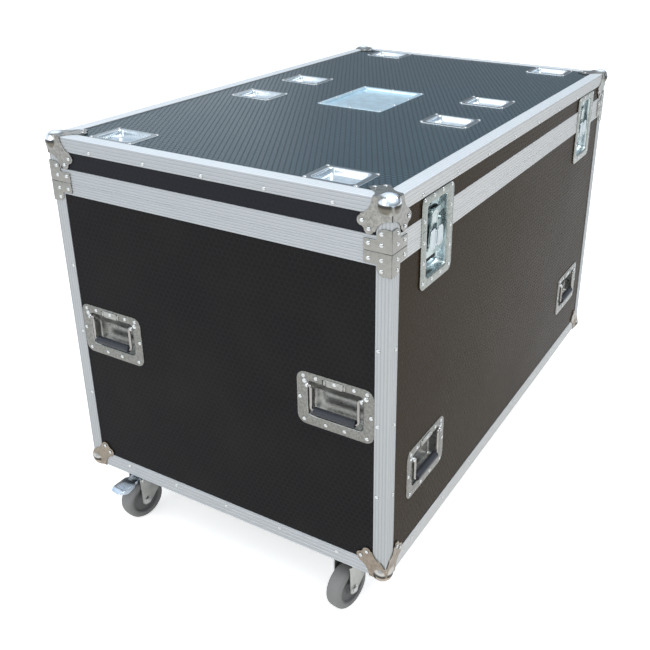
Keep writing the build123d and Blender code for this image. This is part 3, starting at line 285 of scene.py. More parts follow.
laminate = make_laminate("laminate", 1.105, (1.0, 0.94, 0.88))
top_laminate = make_laminate("laminate_top", 1.40, (0.80, 0.93, 1.0))
aluminium = make_metal("anodised_aluminium", (0.76, 0.76, 0.76), 0.42, 0.12)
steel = make_metal("plated_steel", (0.27, 0.265, 0.245), 0.26, 0.2, 0.7, 520.0, shade=0.66)
bright = make_metal("bright_steel", (0.66, 0.66, 0.65), 0.12, 0.08, 0.5)
zinc = make_metal("zinc_blue", (0.70, 0.74, 0.78), 0.24, 0.12, 0.4)
rubber = make_plain("grip_rubber", (0.022, 0.024, 0.032), 0.45)
tyre = make_plain("tyre_rubber", (0.24, 0.23, 0.22), 0.6)
board = make_plain("board_black", (0.018, 0.018, 0.018), 0.5)
# Painted shade: a dark sheet put into slits, slots and seams
shadow = make_plain("dark_gap", (0.01, 0.01, 0.01), 0.7)
label = make_metal("label_zinc", (0.74, 0.90, 0.98), 0.35, 0.1)

finish = {
    "laminate": laminate,
    "edging": aluminium,
    "plated_steel": steel,
    "bright_dish": bright,
    "rubber_grip": rubber,
    "castor_steel": zinc,
    "tyre": tyre,
    "board": board,
    "label_plate": label,
}
slots = {part["node"]: part["material_slot"] for part in frame["record"]["subparts"]}
for name, node in frame["nodes"].items():
    node.data.materials.clear()
    node.data.materials.append(top_laminate if name == "lid_top_panel" else finish[slots[name]])


# Mesh helpers: shapes are made in a local frame and turned into the case's frame


def frame_at(origin, x_dir, z_dir):
    x_dir = Vector(x_dir).normalized()
    z_dir = Vector(z_dir).normalized()
    turn = Matrix((x_dir, z_dir.cross(x_dir), z_dir)).transposed().to_4x4()
    return Matrix.Translation(origin) @ turn


def along_x(*origin):
    """Frame whose Z runs along X."""
    return frame_at(origin, Y, X)


def along_y(*origin, side=1):
    """Frame whose Z runs along Y, or against it."""
    return frame_at(origin, X, (0, side, 0))


def about_z(degrees):
    return Matrix.Rotation(math.radians(degrees), 4, "Z")


FACES = {
    "front": ((0, -HALF_Y, 0), X, (0, -1, 0)),
    "back": ((0, HALF_Y, 0), (-1, 0, 0), Y),
    "left": ((-HALF_X, 0, 0), (0, -1, 0), (-1, 0, 0)),
    "right": ((HALF_X, 0, 0), Y, X),
    "top": ((0, 0, TOP_PANEL), X, Z),
}


def on_face(face, across, up):
    return frame_at(*FACES[face]) @ Matrix.Translation((across, up, 0))


def circle(radius, segments, x=0.0, y=0.0):
    angles = [2 * math.pi * step / segments for step in range(segments)]
    return [(x + radius * math.cos(angle), y + radius * math.sin(angle)) for angle in angles]


def arc(cx, cy, radius, start, finish, steps=4):
    angles = [math.radians(start + (finish - start) * step / steps) for step in range(steps + 1)]
    return [(cx + radius * math.cos(angle), cy + radius * math.sin(angle)) for angle in angles]


def mirrored(profile):
    """The profile and, back to front, its mirror image in the second coordinate."""
    return profile + [(first, -second) for first, second in profile[::-1]]


def rounded(width, height, radius, x=0.0, y=0.0, steps=6):
    """Anticlockwise rounded rectangle."""
    radius = max(min(radius, width / 2 - 0.01, height / 2 - 0.01), 0.01)
    points = []
    for quarter, (sx, sy) in enumerate(((1, -1), (1, 1), (-1, 1), (-1, -1))):
        centre_x = x + sx * (width / 2 - radius)
        centre_y = y + sy * (height / 2 - radius)
        start = 90 * (quarter - 1)
        points += arc(centre_x, centre_y, radius, start, start + 90, steps)
    return points


def ring(width, low, high, radius, out, steps=6):
    """Rounded rectangle from low to high, at one height out."""
    return [(x, y, out) for x, y in rounded(width, high - low, radius, 0, (low + high) / 2, steps)]


def centred_ring(width, height, radius, out, steps=6):
    return ring(width, -height / 2, height / 2, radius, out, steps)


def offset(outline, grow):
    """Anticlockwise outline, moved outwards along its own corner normals."""
    if not grow:
        return list(outline)
    corners = [Vector(point) for point in outline]
    moved = []
    for before, here, after in zip(corners[-1:] + corners, corners, corners[1:] + corners[:1]):
        first = (here - before).normalized()
        second = (after - here).normalized()
        first_normal = Vector((first.y, -first.x))
        mean = first_normal + Vector((second.y, -second.x))
        if mean.length < 1e-6:
            mean = first_normal
        mean.normalize()
        moved.append(tuple(here + mean * (grow / max(mean.dot(first_normal), 0.5))))
    return moved


class Shape:
    """Vertices and faces in millimetres, gathered part by part."""

    def __init__(self):
        self.points = []
        self.faces = []
        self.slots = []

    def add(self, points, faces, slot=0, place=None):
        start = len(self.points)
        if place is not None:
            points = [place @ Vector(point) for point in points]
        self.points += [Vector(point) for point in points]
        self.faces += [tuple(start + corner for corner in face) for face in faces]
        self.slots += [slot] * len(faces)
        return self

    def add_work(self, work):
        """Takes over the mesh of a bmesh and frees it."""
        work.verts.index_update()
        points = [vertex.co.copy() for vertex in work.verts]
        faces = [[vertex.index for vertex in face.verts] for face in work.faces]
        work.free()
        return self.add(points, faces)

    def at(self, place):
        """The shape moved to a place."""
        moved = Shape().add(self.points, self.faces, 0, place)
        moved.slots = list(self.slots)
        return moved

    def loft(self, rings, slot=0, place=None, caps=(True, True), closed=False):
        """Skin over rings of equally many points, with caps, or closed back to the first ring."""
        count = len(rings[0])
        points = [point for row in rings for point in row]
        faces = []
        for level in range(len(rings) if closed else len(rings) - 1):
            low = level * count
            high = ((level + 1) % len(rings)) * count
            for step in range(count):
                after = (step + 1) % count
                faces.append((low + step, low + after, high + after, high + step))
        if caps[0] and not closed:
            faces.append(tuple(range(count))[::-1])
        if caps[1] and not closed:
            last = (len(rings) - 1) * count
            faces.append(tuple(range(last, last + count)))
        return self.add(points, faces, slot, place)

    def lathe(self, profile, segments, slot=0, place=None):
        """(radius, height) profile turned about local Z, with a cap at each end."""
        rings = [[(x, y, height) for x, y in circle(radius, segments)] for radius, height in profile]
        return self.loft(rings, slot, place)

    def torus_lathe(self, profile, segments, slot=0, place=None):
        """Closed (radius, height) loop turned about local Z."""
        turns = circle(1.0, segments)
        rings = [[(radius * x, radius * y, height) for radius, height in profile] for x, y in turns]
        return self.loft(rings, slot, place, closed=True)

    def prism(self, outline, low, high, slot=0, place=None, edge=0.0, steps=2):
        """Outline (x, y) raised along local Z, with its two rims rounded by edge."""
        levels = [(0.0, low), (0.0, high)]
        if edge:
            turns = [math.pi / 2 * step / steps for step in range(steps + 1)]
            levels = [(edge * (1 - math.sin(a)), low + edge * (1 - math.cos(a))) for a in turns]
            levels += [(edge * (1 - math.cos(a)), high - edge * (1 - math.sin(a))) for a in turns]
        rings = [[(x, y, z) for x, y in offset(outline, -inset)] for inset, z in levels]
        return self.loft(rings, slot, place)

    def tube(self, path, radius, segments):
        """Round wire along a path that starts off level."""
        rings = []
        side = None
        for index, point in enumerate(path):
            heading = (path[min(index + 1, len(path) - 1)] - path[max(index - 1, 0)]).normalized()
            if side is None:
                side = heading.cross(Vector(Z)).normalized()
            side = (side - heading * side.dot(heading)).normalized()
            other = heading.cross(side)
            rings.append([point + side * x + other * y for x, y in circle(radius, segments)])
        return self.loft(rings)


def build(name, shape, body, materials, replaced=(), smooth=32.0):
    """Makes the object, lets it ride on its body and says what it replaces."""
    mesh = bpy.data.meshes.new(name)
    mesh.from_pydata([tuple(point * MM) for point in shape.points], [], shape.faces)
    for made in materials:
        mesh.materials.append(made)
    mesh.polygons.foreach_set("material_index", shape.slots)
    tidy = bmesh.new()
    tidy.from_mesh(mesh)
    bmesh.ops.recalc_face_normals(tidy, faces=tidy.faces)
    tidy.to_mesh(mesh)
    tidy.free()
    mesh.shade_smooth()
    mesh.set_sharp_from_angle(angle=math.radians(smooth))
    made = bpy.data.objects.new(name, mesh)
    scene.collection.objects.link(made)
    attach(made, body)
    if replaced:
        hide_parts(*replaced)


# Edging and rails

RIB_DEPTH = 0.45
NOSE = 2.0
GROOVE_SLOT = 3


def ribbed(length, start, finish):
    """(along, depth) points of a face with four shallow grooves, from start to finish."""
    count, width, margin = 4, 2.8, 4.5
    points = [(start, 0.0)]
    for index in range(count):
        low = margin + (length - 2 * margin) / (count - 1) * index - width / 2
        high = low + width
        points += [(low, 0.0), (low + RIB_DEPTH, RIB_DEPTH), (high - RIB_DEPTH, RIB_DEPTH), (high, 0.0)]
    return points + [(finish, 0.0)]


def angle_outline(flange):
    wall = METAL_WALL
    face = ribbed(flange, NOSE, flange - 0.6)
    outline = face + [(flange - 0.2, 0.2), (flange, 0.7), (flange, wall), (wall, wall), (wall, flange)]
    outline += [(0.7, flange), (0.2, flange - 0.2)] + [(depth, along) for along, depth in face[::-1]]
    return outline + arc(NOSE, NOSE, NOSE, 180, 270)[1:-1]


def bar(shape, outline, centre, x_dir, y_dir, length, slot):
    """Extrusion along x_dir cross y_dir, with a darker copy of its metal in its grooves as painted shade."""
    place = frame_at(centre, x_dir, Vector(x_dir).cross(Vector(y_dir)))
    start = len(shape.slots)
    shape.prism(outline, -length / 2, length / 2, slot, place)
    for step, (first, second) in enumerate(zip(outline, outline[1:])):
        if first[0] == second[0] == RIB_DEPTH or first[1] == second[1] == RIB_DEPTH:
            shape.slots[start + step] = slot + GROOVE_SLOT


# The edging ends this far from the case's corner, just clear of the ball
CORNER = BALL_CENTRE + math.sqrt(BALL_RADIUS**2 - (BALL_CENTRE - METAL_WALL) ** 2) + 1


def edging_loop(shape, level, inward, flange):
    outline = angle_outline(flange)
    for side in (-1, 1):
        up = (0, 0, inward)
        bar(shape, outline, (0, side * HALF_Y, level), (0, -side, 0), up, 2 * (HALF_X - CORNER), 0)
        bar(shape, outline, (side * HALF_X, 0, level), (-side, 0, 0), up, 2 * (HALF_Y - CORNER), 1)


def uprights(shape, low, high):
    outline = angle_outline(UPRIGHT_FLANGE)
    for sx in (-1, 1):
        for sy in (-1, 1):
            centre = (sx * HALF_X, sy * HALF_Y, (low + high) / 2)
            bar(shape, outline, centre, (-sx, 0, 0), (0, -sy, 0), high - low, 2)


def groove_outline():
    high, wall, inner = GROOVE_RAIL, METAL_WALL, RAIL_REACH
    face = [(depth, along - high) for along, depth in ribbed(high, 0.5, high - 0.6)]
    lip = [(0.2, -0.2), (0.6, 0), (3.8, 0), (4.15, -0.4), (4.15, -4.4)]
    lip += [(8.95, -4.4), (8.95, -0.4), (9.3, 0), (inner - 0.3, 0), (inner, -0.3)]
    return face + lip + [(inner, -18), (inner - 1.5, -18), (inner - 1.5, -6), (wall, -6), (wall, -high)]


def tongue_outline():
    high, wall, inner = TONGUE_RAIL, METAL_WALL, RAIL_REACH
    face = [(depth, high - along) for along, depth in ribbed(high, 0.5, high - 0.6)]
    lip = [(0.2, 0.2), (0.6, 0), (4.95, 0), (4.95, -3.0), (5.3, -3.4)]
    lip += [(7.8, -3.4), (8.15, -3.0), (8.15, 0), (inner - 0.3, 0), (inner, 0.3)]
    return face + lip + [(inner, 18), (inner - 1.5, 18), (inner - 1.5, 1.6), (wall, 1.6), (wall, high)]


def rail_loop(shape, outline, level):
    """Rail round the mouth, left out at the two latches."""
    notch = 46.5
    end_run = HALF_X - LATCH_ACROSS - notch
    bar(shape, outline, (0, HALF_Y, level), (0, -1, 0), Z, 2 * HALF_X, 0)
    bar(shape, outline, (0, -HALF_Y, level), Y, Z, 2 * (LATCH_ACROSS - notch), 0)
    for side in (-1, 1):
        bar(shape, outline, (side * (HALF_X - end_run / 2), -HALF_Y, level), Y, Z, end_run, 0)
        bar(shape, outline, (side * HALF_X, 0, level), (-side, 0, 0), Z, 2 * (HALF_Y - RAIL_REACH), 1)


def make_brushed(name, colour, lit, roughness, along):
    """Anodised aluminium with fine drawing lines along one axis, its upward faces painted lighter as lit."""
    made, nodes, shader, point, normal = textured(name)
    stretch = tuple(4.0 if axis == along else 700.0 for axis in "xyz")
    lines = nodes.noise(nodes.vmath("MULTIPLY", point, stretch), 1.0, 3.0, 0.6)
    cloud = nodes.noise(point, 9.0, 4.0)
    facing = nodes.split(nodes.vmath("ABSOLUTE", normal))
    side_tone = nodes.mix(cloud, shaded(colour, 0.93), colour)
    tone = nodes.mix(nodes.smooth(facing[2], 0.5, 0.9), side_tone, nodes.mix(cloud, *lit))
    nodes.fill(
        shader,
        Metallic=0.6,
        Base_Color=nodes.mix(nodes.math("MULTIPLY", lines, 0.16), tone, (0.45, 0.45, 0.46)),
        Roughness=nodes.line(lines, 0.12, roughness),
        Normal=nodes.bump(lines, 0.04),
    )
    return made


# Painted light: each axis's bars get their own tone for how light falls on their faces, and upward faces a
# lit tone
side_metal = {"x": (0.56, 0.545, 0.525), "y": (0.445, 0.455, 0.465), "z": (0.455, 0.462, 0.465)}
lit_metal = ((0.79, 0.81, 0.83), (0.85, 0.87, 0.89))
lit_groove = ((0.77, 0.79, 0.81), (0.83, 0.85, 0.87))
edge_metals = [make_brushed(f"edging_{axis}", side_metal[axis], lit_metal, 0.34, axis) for axis in "xyz"]
# Painted shade: the grooves get a darker copy of each bar's metal
edge_metals += [
    make_brushed(f"groove_{axis}", shaded(side_metal[axis], 0.86), lit_groove, 0.4, axis) for axis in "xyz"
]

shapes = {name: Shape() for name in ("base_edging", "lid_edging", "base_rail", "lid_rail")}
edging_loop(shapes["base_edging"], UNDER, 1, BASE_FLANGE)
uprights(shapes["base_edging"], UNDER + UPRIGHT_FOOT, SEAM - GROOVE_RAIL)
edging_loop(shapes["lid_edging"], TOP, -1, LID_FLANGE)
uprights(shapes["lid_edging"], LID_UNDER + TONGUE_RAIL, TOP - CORNER)
rail_loop(shapes["base_rail"], groove_outline(), SEAM)
rail_loop(shapes["lid_rail"], tongue_outline(), LID_UNDER)
for name, body, node in (
    ("base_edging", "base", "base_edge_extrusions"),
    ("lid_edging", "lid", "lid_edge_extrusions"),
    ("base_rail", "base", "base_groove_rails"),
    ("lid_rail", "lid", "lid_tongue_rails"),
):
    build(name, shapes[name], body, edge_metals, [node])


# Rivets, one on each of the frame's rivet solids

RIVET = [
    (0, 0), (4.0, 0), (4.2, 0.15), (4.05, 0.55), (3.6, 0.95), (2.9, 1.32), (2.0, 1.58), (1.25, 1.66),
    (1.0, 1.5), (0.8, 1.05), (0, 1.0),
]


def loose_parts(mesh):
    """Points of each loose part, with vertices in one place taken as one."""
    parent = list(range(len(mesh.vertices)))

    def find(item):
        while parent[item] != item:
            parent[item] = parent[parent[item]]
            item = parent[item]
        return item

    def join(first, second):
        parent[find(first)] = find(second)

    for edge in mesh.edges:
        join(*edge.vertices)
    welded = {}
    for vertex in mesh.vertices:
        join(vertex.index, welded.setdefault(tuple(round(value, 6) for value in vertex.co), vertex.index))
    groups = {}
    for vertex in mesh.vertices:
        groups.setdefault(find(vertex.index), []).append(vertex.co)
    return list(groups.values())


def rivets_on(node, name, body):
    shape = Shape()
    case_middle = (0, 0, 540 * MM)
    for group in loose_parts(frame["nodes"][node].data):
        low = Vector(tuple(min(point[axis] for point in group) for axis in range(3)))
        high = Vector(tuple(max(point[axis] for point in group) for axis in range(3)))
        size = high - low
        axis = min(range(3), key=lambda index: size[index])
        seat = (low + high) / 2
        outward = Vector(ORIGIN)
        outward[axis] = 1.0 if seat[axis] > case_middle[axis] else -1.0
        seat[axis] = low[axis] if outward[axis] > 0 else high[axis]
        x_dir = Vector(Z if axis != 2 else X)
        # Each rivet's slight facets are turned by another angle
        x_dir = Matrix.Rotation(len(shape.faces) * 0.37, 3, outward) @ x_dir
        shape.lathe(RIVET, 18, 0, frame_at(seat / MM, x_dir, outward))
    build(name, shape, body, [bright], [node], 40)


rivets_on("base_rivets", "base_rivet_heads", "base")
rivets_on("lid_rivets", "lid_rivet_heads", "lid")


# Handles: X across, Y up, Z out, with the edging's face at 0

LONG_HANDLE = (474.0, 339.5)
END_HANDLE = (284.5, 517.5)
HANDLES = {
    "front_left": ("front", -1, LONG_HANDLE),
    "front_right": ("front", 1, LONG_HANDLE),
    "back_left": ("back", 1, LONG_HANDLE),
    "back_right": ("back", -1, LONG_HANDLE),
    "left_front": ("left", 1, END_HANDLE),
    "left_back": ("left", -1, END_HANDLE),
    "right_front": ("right", -1, END_HANDLE),
    "right_back": ("right", 1, END_HANDLE),
}
BAIL_PIVOT, BAIL_SIDE, GRIP_UP, BAIL_OUT = 31.0, 52.5, -22.5, 0.3
DISH_FACE, DISH_BACK = -0.3, -1.8
# Places in the handle dish's list of metals, of which latches and braces share the dark one, a painted shade
# for slits, slots and seams
DARK, BRIGHT, RECESS, COVER = 1, 2, 3, 4


def pin(radius, low, high):
    return [(0, low), (radius, low), (radius, high), (0, high)]


def rectangle(left, low, right, high):
    return [(left, low), (right, low), (right, high), (left, high)]


def handle_pan():
    """Pressed dish. Each ring has its width, low, high, corner radius and place out."""
    pan = [
        (102, -26, 6, 5, -23.8), (112, -31, 10.5, 7, -23.8), (116, -33, 13, 8, -23.3),
        (118.6, -34.4, 15, 8, -22.2), (119.6, -35, 17, 8, -20.6), (120.4, -35.3, 27, 8, -11.5),
        (121.6, -35.9, 37.0, 8, -3.6), (122.4, -36.3, 38.6, 8.4, -1.9), (124.2, -37.3, 40.3, 9.2, -0.8),
        (126.6, -38.5, 41.8, 10.2, DISH_FACE),
    ]
    rim = [
        (168.6, -57.8, 57.8, 18.4, DISH_FACE), (169.6, -58.3, 58.3, 18.8, DISH_FACE - 0.25),
        (170, -58.5, 58.5, 19, DISH_FACE - 0.7), (170, -58.5, 58.5, 19, DISH_BACK),
    ]
    under = [
        (126.4, -38, 42.2, 10, DISH_BACK), (125, -37.4, 41.5, 9.5, -2.4), (122.8, -36.6, 18.5, 9.5, -21.0),
        (118, -34, 15, 9, -25.0), (102, -26, 7, 6, -25.3),
    ]
    rings = [ring(*entry) for entry in pan + rim + under]
    shape = Shape().loft(rings)
    # Painted light: the recess gets a lighter copy of the flange's steel
    in_recess = 8 * len(rings[0])
    shape.slots[:in_recess] = [RECESS] * in_recess
    shape.slots[-2] = RECESS
    return shape


def handle_dish():
    """The pan with its bail knuckles, bosses and spring cover."""
    shape = handle_pan()
    knuckle = [
        (0, -2.6), (4.4, -2.6), (5.0, -2.0), (5.3, -1.2), (5.3, 1.4), (5.0, 2.2), (4.2, 2.9), (2.0, 3.3),
        (0, 3.4),
    ]
    boss = [(0, -1.0), (5.6, -1.0), (5.6, -0.2), (4.9, 0.9), (3.4, 1.8), (1.5, 2.2), (0, 2.3)]
    capsule = mirrored([(0.01, -6.2)] + arc(0, -3.2, 3.0, -75, 0, 3))
    for side in (-1, 1):
        shape.lathe(knuckle, 28, BRIGHT, frame_at((side * 60.2, BAIL_PIVOT, BAIL_OUT), Z, (side, 0, 0)))
        shape.lathe(boss, 24, BRIGHT, Matrix.Translation((side * 67.5, 37.5, DISH_FACE)))
        shape.lathe(capsule, 16, COVER, along_y(side * 21.8, 46.5, DISH_FACE - 0.4))
        # Painted shade: a dark sheet stands for each slit beside the cover
        slit = rounded(2.4, 11, 0.6, side * 21.8 - 4.1, 46.5, 2)
        shape.prism(slit, DISH_FACE, DISH_FACE + 0.06, DARK)
    cover = []
    for up, out, half in (
        (54.2, 0.55, 18.4), (53.9, 0.85, 18.7), (47, 0.9, 18.7), (42, 0.9, 18.2), (39.6, 0.5, 17.2),
        (38.2, -0.5, 16.0), (37.2, -2.0, 14.6),
    ):
        section = [(half, out - 1.2), (half, out), (half - 1.2, out + 0.25)]
        cover.append([(-x, up, z) for x, z in section] + [(x, up, z) for x, z in section[::-1]])
    return shape.loft(cover, COVER)


def fillet_path(points, radii):
    """The path with its inner corners rounded."""
    steps = 7
    path = [points[0]]
    for before, here, after, radius in zip(points, points[1:], points[2:], radii):
        back = (before - here).normalized()
        on = (after - here).normalized()
        half = back.angle(on) / 2
        reach = radius / math.tan(half)
        centre = here + (back + on).normalized() * (radius / math.sin(half))
        first = here + back * reach - centre
        last = here + on * reach - centre
        for step in range(steps + 1):
            path.append(centre + first.slerp(last, step / steps).normalized() * radius)
    return path + [points[-1]]


def bail():
    half = [(-60.6, BAIL_PIVOT), (-BAIL_SIDE, BAIL_PIVOT), (-BAIL_SIDE, GRIP_UP)]
    corners = half + [(-x, y) for x, y in half[::-1]]
    path = fillet_path([Vector((x, y, BAIL_OUT)) for x, y in corners], [5, 7, 7, 5])
    return Shape().tube(path, 3.3, 20)


def grip():
    half = [
        (3.35, -46), (6.8, -46), (7.7, -45.4), (8.05, -44.6), (8.05, -42.6), (7.5, -42.0), (7.5, -41.2),
        (8.0, -40.6), (8.15, -30), (8.2, -12),
    ]
    return Shape().torus_lathe(mirrored(half), 40, 0, frame_at((0, GRIP_UP, BAIL_OUT), Z, X))


# Painted light: a lighter copy of the plated steel for the handle recess
recess = make_metal("recess_steel", (0.48, 0.475, 0.45), 0.30, 0.2, 0.7, 400.0, shade=0.70)
cover_metal = make_metal("cover_steel", (0.40, 0.395, 0.375), 0.2, 0.2, 0.8, 500.0, shade=0.7)
bail_metal = make_metal("bail_steel", (0.37, 0.35, 0.33), 0.18, 0.1, 0.4)
dish_metals = [steel, shadow, bright, recess, cover_metal]
dish_shape, bail_shape, grip_shape = handle_dish(), bail(), grip()
for name, (face, side, (across, up)) in HANDLES.items():
    spot = on_face(face, side * across, up)
    body = f"handle_{name}"
    replaced = ["handle_dishes"] if name == "front_left" else []
    build(f"handle_dish_{name}", dish_shape.at(spot), "base", dish_metals, replaced)
    build(f"bail_{name}", bail_shape.at(spot), body, [bail_metal], [f"handle_bail_{name}"])
    build(f"grip_{name}", grip_shape.at(spot), body, [rubber], [f"handle_grip_{name}"])


# Dishes in the lid

DISH_PLACES = (("corner", 568.0), ("middle", 107.0))
DISH_BACKWARD = 258.0
DISH_FLANGE = 1


def castor_dish():
    """Stacking dish: pan, raised ring and flat flange round an opening."""
    width, height = 66, 86
    pan = [
        (-18, 5, -13), (-12, 7, -12.9), (-7.5, 8, -12.0), (-4.5, 9, -9.8), (-2.5, 9, -5.5), (-0.8, 9, -1.0),
        (0.4, 9.2, 0.9), (2.2, 10, 1.75), (4.4, 11, 1.95), (6.4, 12, 1.6), (7.6, 12.6, 1.2),
    ]
    rim = [(87.0, 114.0, 8.6, 1.2), (87.8, 114.8, 9, 0.9), (88, 115, 9, 0.4), (88, 115, 9, 0.0)]
    under = [(4.6, 11, 0.0), (2.6, 10.5, -0.6), (-2, 10, -11), (-10, 8, -14.2), (-18, 5, -14.3)]
    rings = [centred_ring(width + grow, height + grow, radius, z) for grow, radius, z in pan]
    rings += [centred_ring(*entry) for entry in rim]
    rings += [centred_ring(width + grow, height + grow, radius, z) for grow, radius, z in under]
    shape = Shape().loft(rings)
    count = len(rings[0])
    # Painted reflection: the flange gets a darker copy of the dish's metal
    shape.slots[9 * count : 11 * count] = [DISH_FLANGE] * (2 * count)
    return shape


def label_dish():
    """Shallow pan. Each ring has its width, height, corner radius and level."""
    rings = [
        (196, 143, 3, -5), (199, 146, 4, -4.9), (201, 148, 5, -4.2), (202, 149, 5, -1.0),
        (202.6, 149.6, 5, 0.6), (204.6, 151.6, 6, 1.35), (208, 155, 6, 1.2), (225, 172, 4.6, 1.15),
        (225.8, 172.8, 5, 0.8), (226, 173, 5, 0), (206, 153, 6, 0), (204.4, 151.4, 5, -6.1),
        (196, 143, 3, -6.2),
    ]
    return Shape().loft([centred_ring(*entry, steps=5) for entry in rings])


# Painted reflection: the dish's flange is a darker copy of its pan metal
dish_bright = make_metal("dish_bright", (0.75, 0.80, 0.84), 0.2, 0.1, 0.6)
dish_flange = make_metal("dish_flange", (0.30, 0.325, 0.345), 0.13, 0.06, 0.4)
castor_dish_shape = castor_dish()
replaced = ["castor_dishes"]
for place_name, across in DISH_PLACES:
    for sx, side_x in ((-1, "left"), (1, "right")):
        for sy, side_y in ((-1, "front"), (1, "back")):
            made = castor_dish_shape.at(on_face("top", sx * across, sy * DISH_BACKWARD))
            name = f"stack_dish_{place_name}_{side_y}_{side_x}"
            build(name, made, "lid", [dish_bright, dish_flange], replaced)
            replaced = []
build("label_pan", label_dish().at(on_face("top", 0, 0)), "lid", [label], ["label_dish"])


# Latches: X across, Y up from the seam, Z out

HUB_UP, WING_AXIS, WING_OUT = -28.0, 4.2, -0.6
HOOK_UP, HOOK_OUT, HOOK_TILT = -50.0, -10.55, 3.5
PAN_BACK = -20.0
PAN_SLOT = 2


def latch_dish():
    """Pan through both halves. Each ring has its width, low, high, corner radius and place out."""
    rings = [
        (70, -86, 38, 5, -20), (78, -90, 42, 7, -19.9), (83, -93, 45, 8.5, -19.0),
        (85.4, -94.4, 46.6, 9.4, -17.0), (87.0, -95.4, 47.4, 10, -8.0), (88.0, -96, 48, 10, -1.2),
        (89.2, -96.7, 48.7, 10.6, 0.4), (91.6, -98, 50, 11.6, 1.3), (93.6, -99, 51, 12.4, 1.5),
        (132.6, -114.2, 64.2, 13.4, 1.5), (133.6, -114.8, 64.8, 13.8, 1.2), (134, -115, 65, 14, 0.7),
        (134, -115, 65, 14, 0), (93, -98.6, 50.6, 12, 0), (91, -97.5, 49.5, 11.5, -0.8),
        (88.6, -96.4, 48.6, 11, -18), (82, -92, 44, 9, -21.4), (70, -86, 38, 5, -21.5),
    ]
    return Shape().loft([ring(*entry) for entry in rings])


def cut_shape(shape, level, keep_above):
    """The part of a closed shape above or below a level of its Y, with its cut closed."""
    pan_from = -1.1
    work = bmesh.new()
    made = [work.verts.new(point) for point in shape.points]
    for face in shape.faces:
        work.faces.new([made[corner] for corner in face])
    normal = (0, -1, 0) if keep_above else Y
    geometry = list(work.verts) + list(work.edges) + list(work.faces)
    cut = bmesh.ops.bisect_plane(
        work, geom=geometry, plane_co=(0, level, 0), plane_no=normal, clear_outer=True
    )
    edges = [item for item in cut["geom_cut"] if isinstance(item, bmesh.types.BMEdge)]
    bmesh.ops.contextual_create(work, geom=edges)
    part = Shape().add_work(work)
    # Painted light: the deep faces get the lighter pan metal
    for index, face in enumerate(part.faces):
        if max(part.points[corner].z for corner in face) < pan_from:
            part.slots[index] = PAN_SLOT
    return part


def latch_housing():
    """Cam cover: a pressed cap over the lower part of the pan, open at its foot, where a dark sheet on the
    pan's back is painted shade.
    """
    cap = [
        (80, -70, -4, 5, PAN_BACK), (80, -70, -4, 5, -14.4), (79.4, -69.7, -4.3, 5, -13.2),
        (77.6, -68.8, -5.2, 4.4, -12.4), (74, -67, -7, 3, -12.3),
    ]
    shape = Shape().loft([ring(*entry, steps=5) for entry in cap], caps=(False, True))
    for start in (-18.9, 16.1):
        shape.prism(rounded(8, 4.4, 1.6, 0, 0, 4), 0, 2.8, 0, along_x(start, HOOK_UP, -10.2), 0.4)
    for up in (-40.0, -53.0):
        shape.prism(rounded(66, 2.0, 0.9, 0, up, 3), -12.5, -11.95, 0, None, 0.2)
    # Painted shade: a dark sheet on the pan's back below the cover
    return shape.prism(rounded(76, 12, 2, 0, -77, 4), PAN_BACK, PAN_BACK + 0.3, DARK)


def latch_hub():
    """Disc and spindle, with lugs and pins for the two wings."""
    disc = [
        (0, -6.3), (16.4, -6.3), (17, -5.8), (17, -3.9), (16.2, -3.2), (14.5, -3.0), (9, -3.0), (8.2, -3.4),
        (0, -3.4),
    ]
    spindle = [(0, -17.2), (8, -17.2), (8, -14.2), (5, -14.2), (5, -6.2), (0, -6.2)]
    barrel = [(0, 0), (1.6, 0), (2, 0.4), (2, 2.6), (1.6, 3), (0, 3)]
    shape = Shape().lathe(disc, 40).lathe(spindle, 24)
    for low in (-15.4, 12.4):
        shape.prism(rectangle(-6.2, low, 6.2, low + 3), -3.1, WING_OUT, 0, None, 0.3)
        for across in (-WING_AXIS, WING_AXIS):
            shape.lathe(barrel, 18, 0, along_y(across, low, WING_OUT))
    for across in (-WING_AXIS, WING_AXIS):
        shape.lathe(pin(1, -12.6, 12.6), 12, 0, along_y(across, 0, WING_OUT))
    return shape


def latch_wing():
    """Half of the butterfly, hinged at X 0 and reaching along +X, with its finger dent."""
    outline = [(2.4, -20), (11.8, -20)] + arc(11.8, -8, 12, -90, 0, 8)[1:]
    outline += arc(11.8, 8, 12, 0, 90, 8) + [(2.4, 20)]
    section = [
        (0.6, -0.8), (0.15, -0.62), (0, -0.2), (0, 0.2), (0.2, 0.62), (0.7, 0.8), (2.4, 0.8), (3.2, 0.35),
        (4.4, 0.1),
    ]
    shape = Shape().loft([[(x, y, out) for x, y in offset(outline, -inset)] for inset, out in section])
    shape.prism(rectangle(0, -12, 3.6, 12), -0.8, 0.8, 0, None, 0.2)
    return shape.torus_lathe(mirrored([(1.05, -12), (1.7, -12), (2.0, -11.6)]), 20, 0, along_y(*ORIGIN))


def latch_hook():
    """Hook plate in its drawn-in place, with the spindle slot and the lip at its top."""
    outline = [(-14, -54), (14, -54), (14, 15)] + arc(2, 13, 12, 0, 90, 6)[1:-1] + [(2, 25)]
    outline += [(-2, 25)] + arc(-2, 13, 12, 90, 180, 6)[1:-1] + [(-14, 15)]
    shape = Shape()
    plate(shape, outline, circle(8, 28, 0, HUB_UP), -11.8, -9.3)
    shape.prism(rounded(22, 3.2, 0.5, 0, 23.4, 3), -15, -11.7, 0, None, 0.3)
    for side in (-1, 1):
        shape.prism(rounded(2.0, 34, 0.9, side * 11.2, -1, 3), -9.4, -8.7, 0, None, 0.25)
    return shape.lathe(pin(1.5, -19, 19), 14, 0, along_x(0, HOOK_UP, HOOK_OUT))


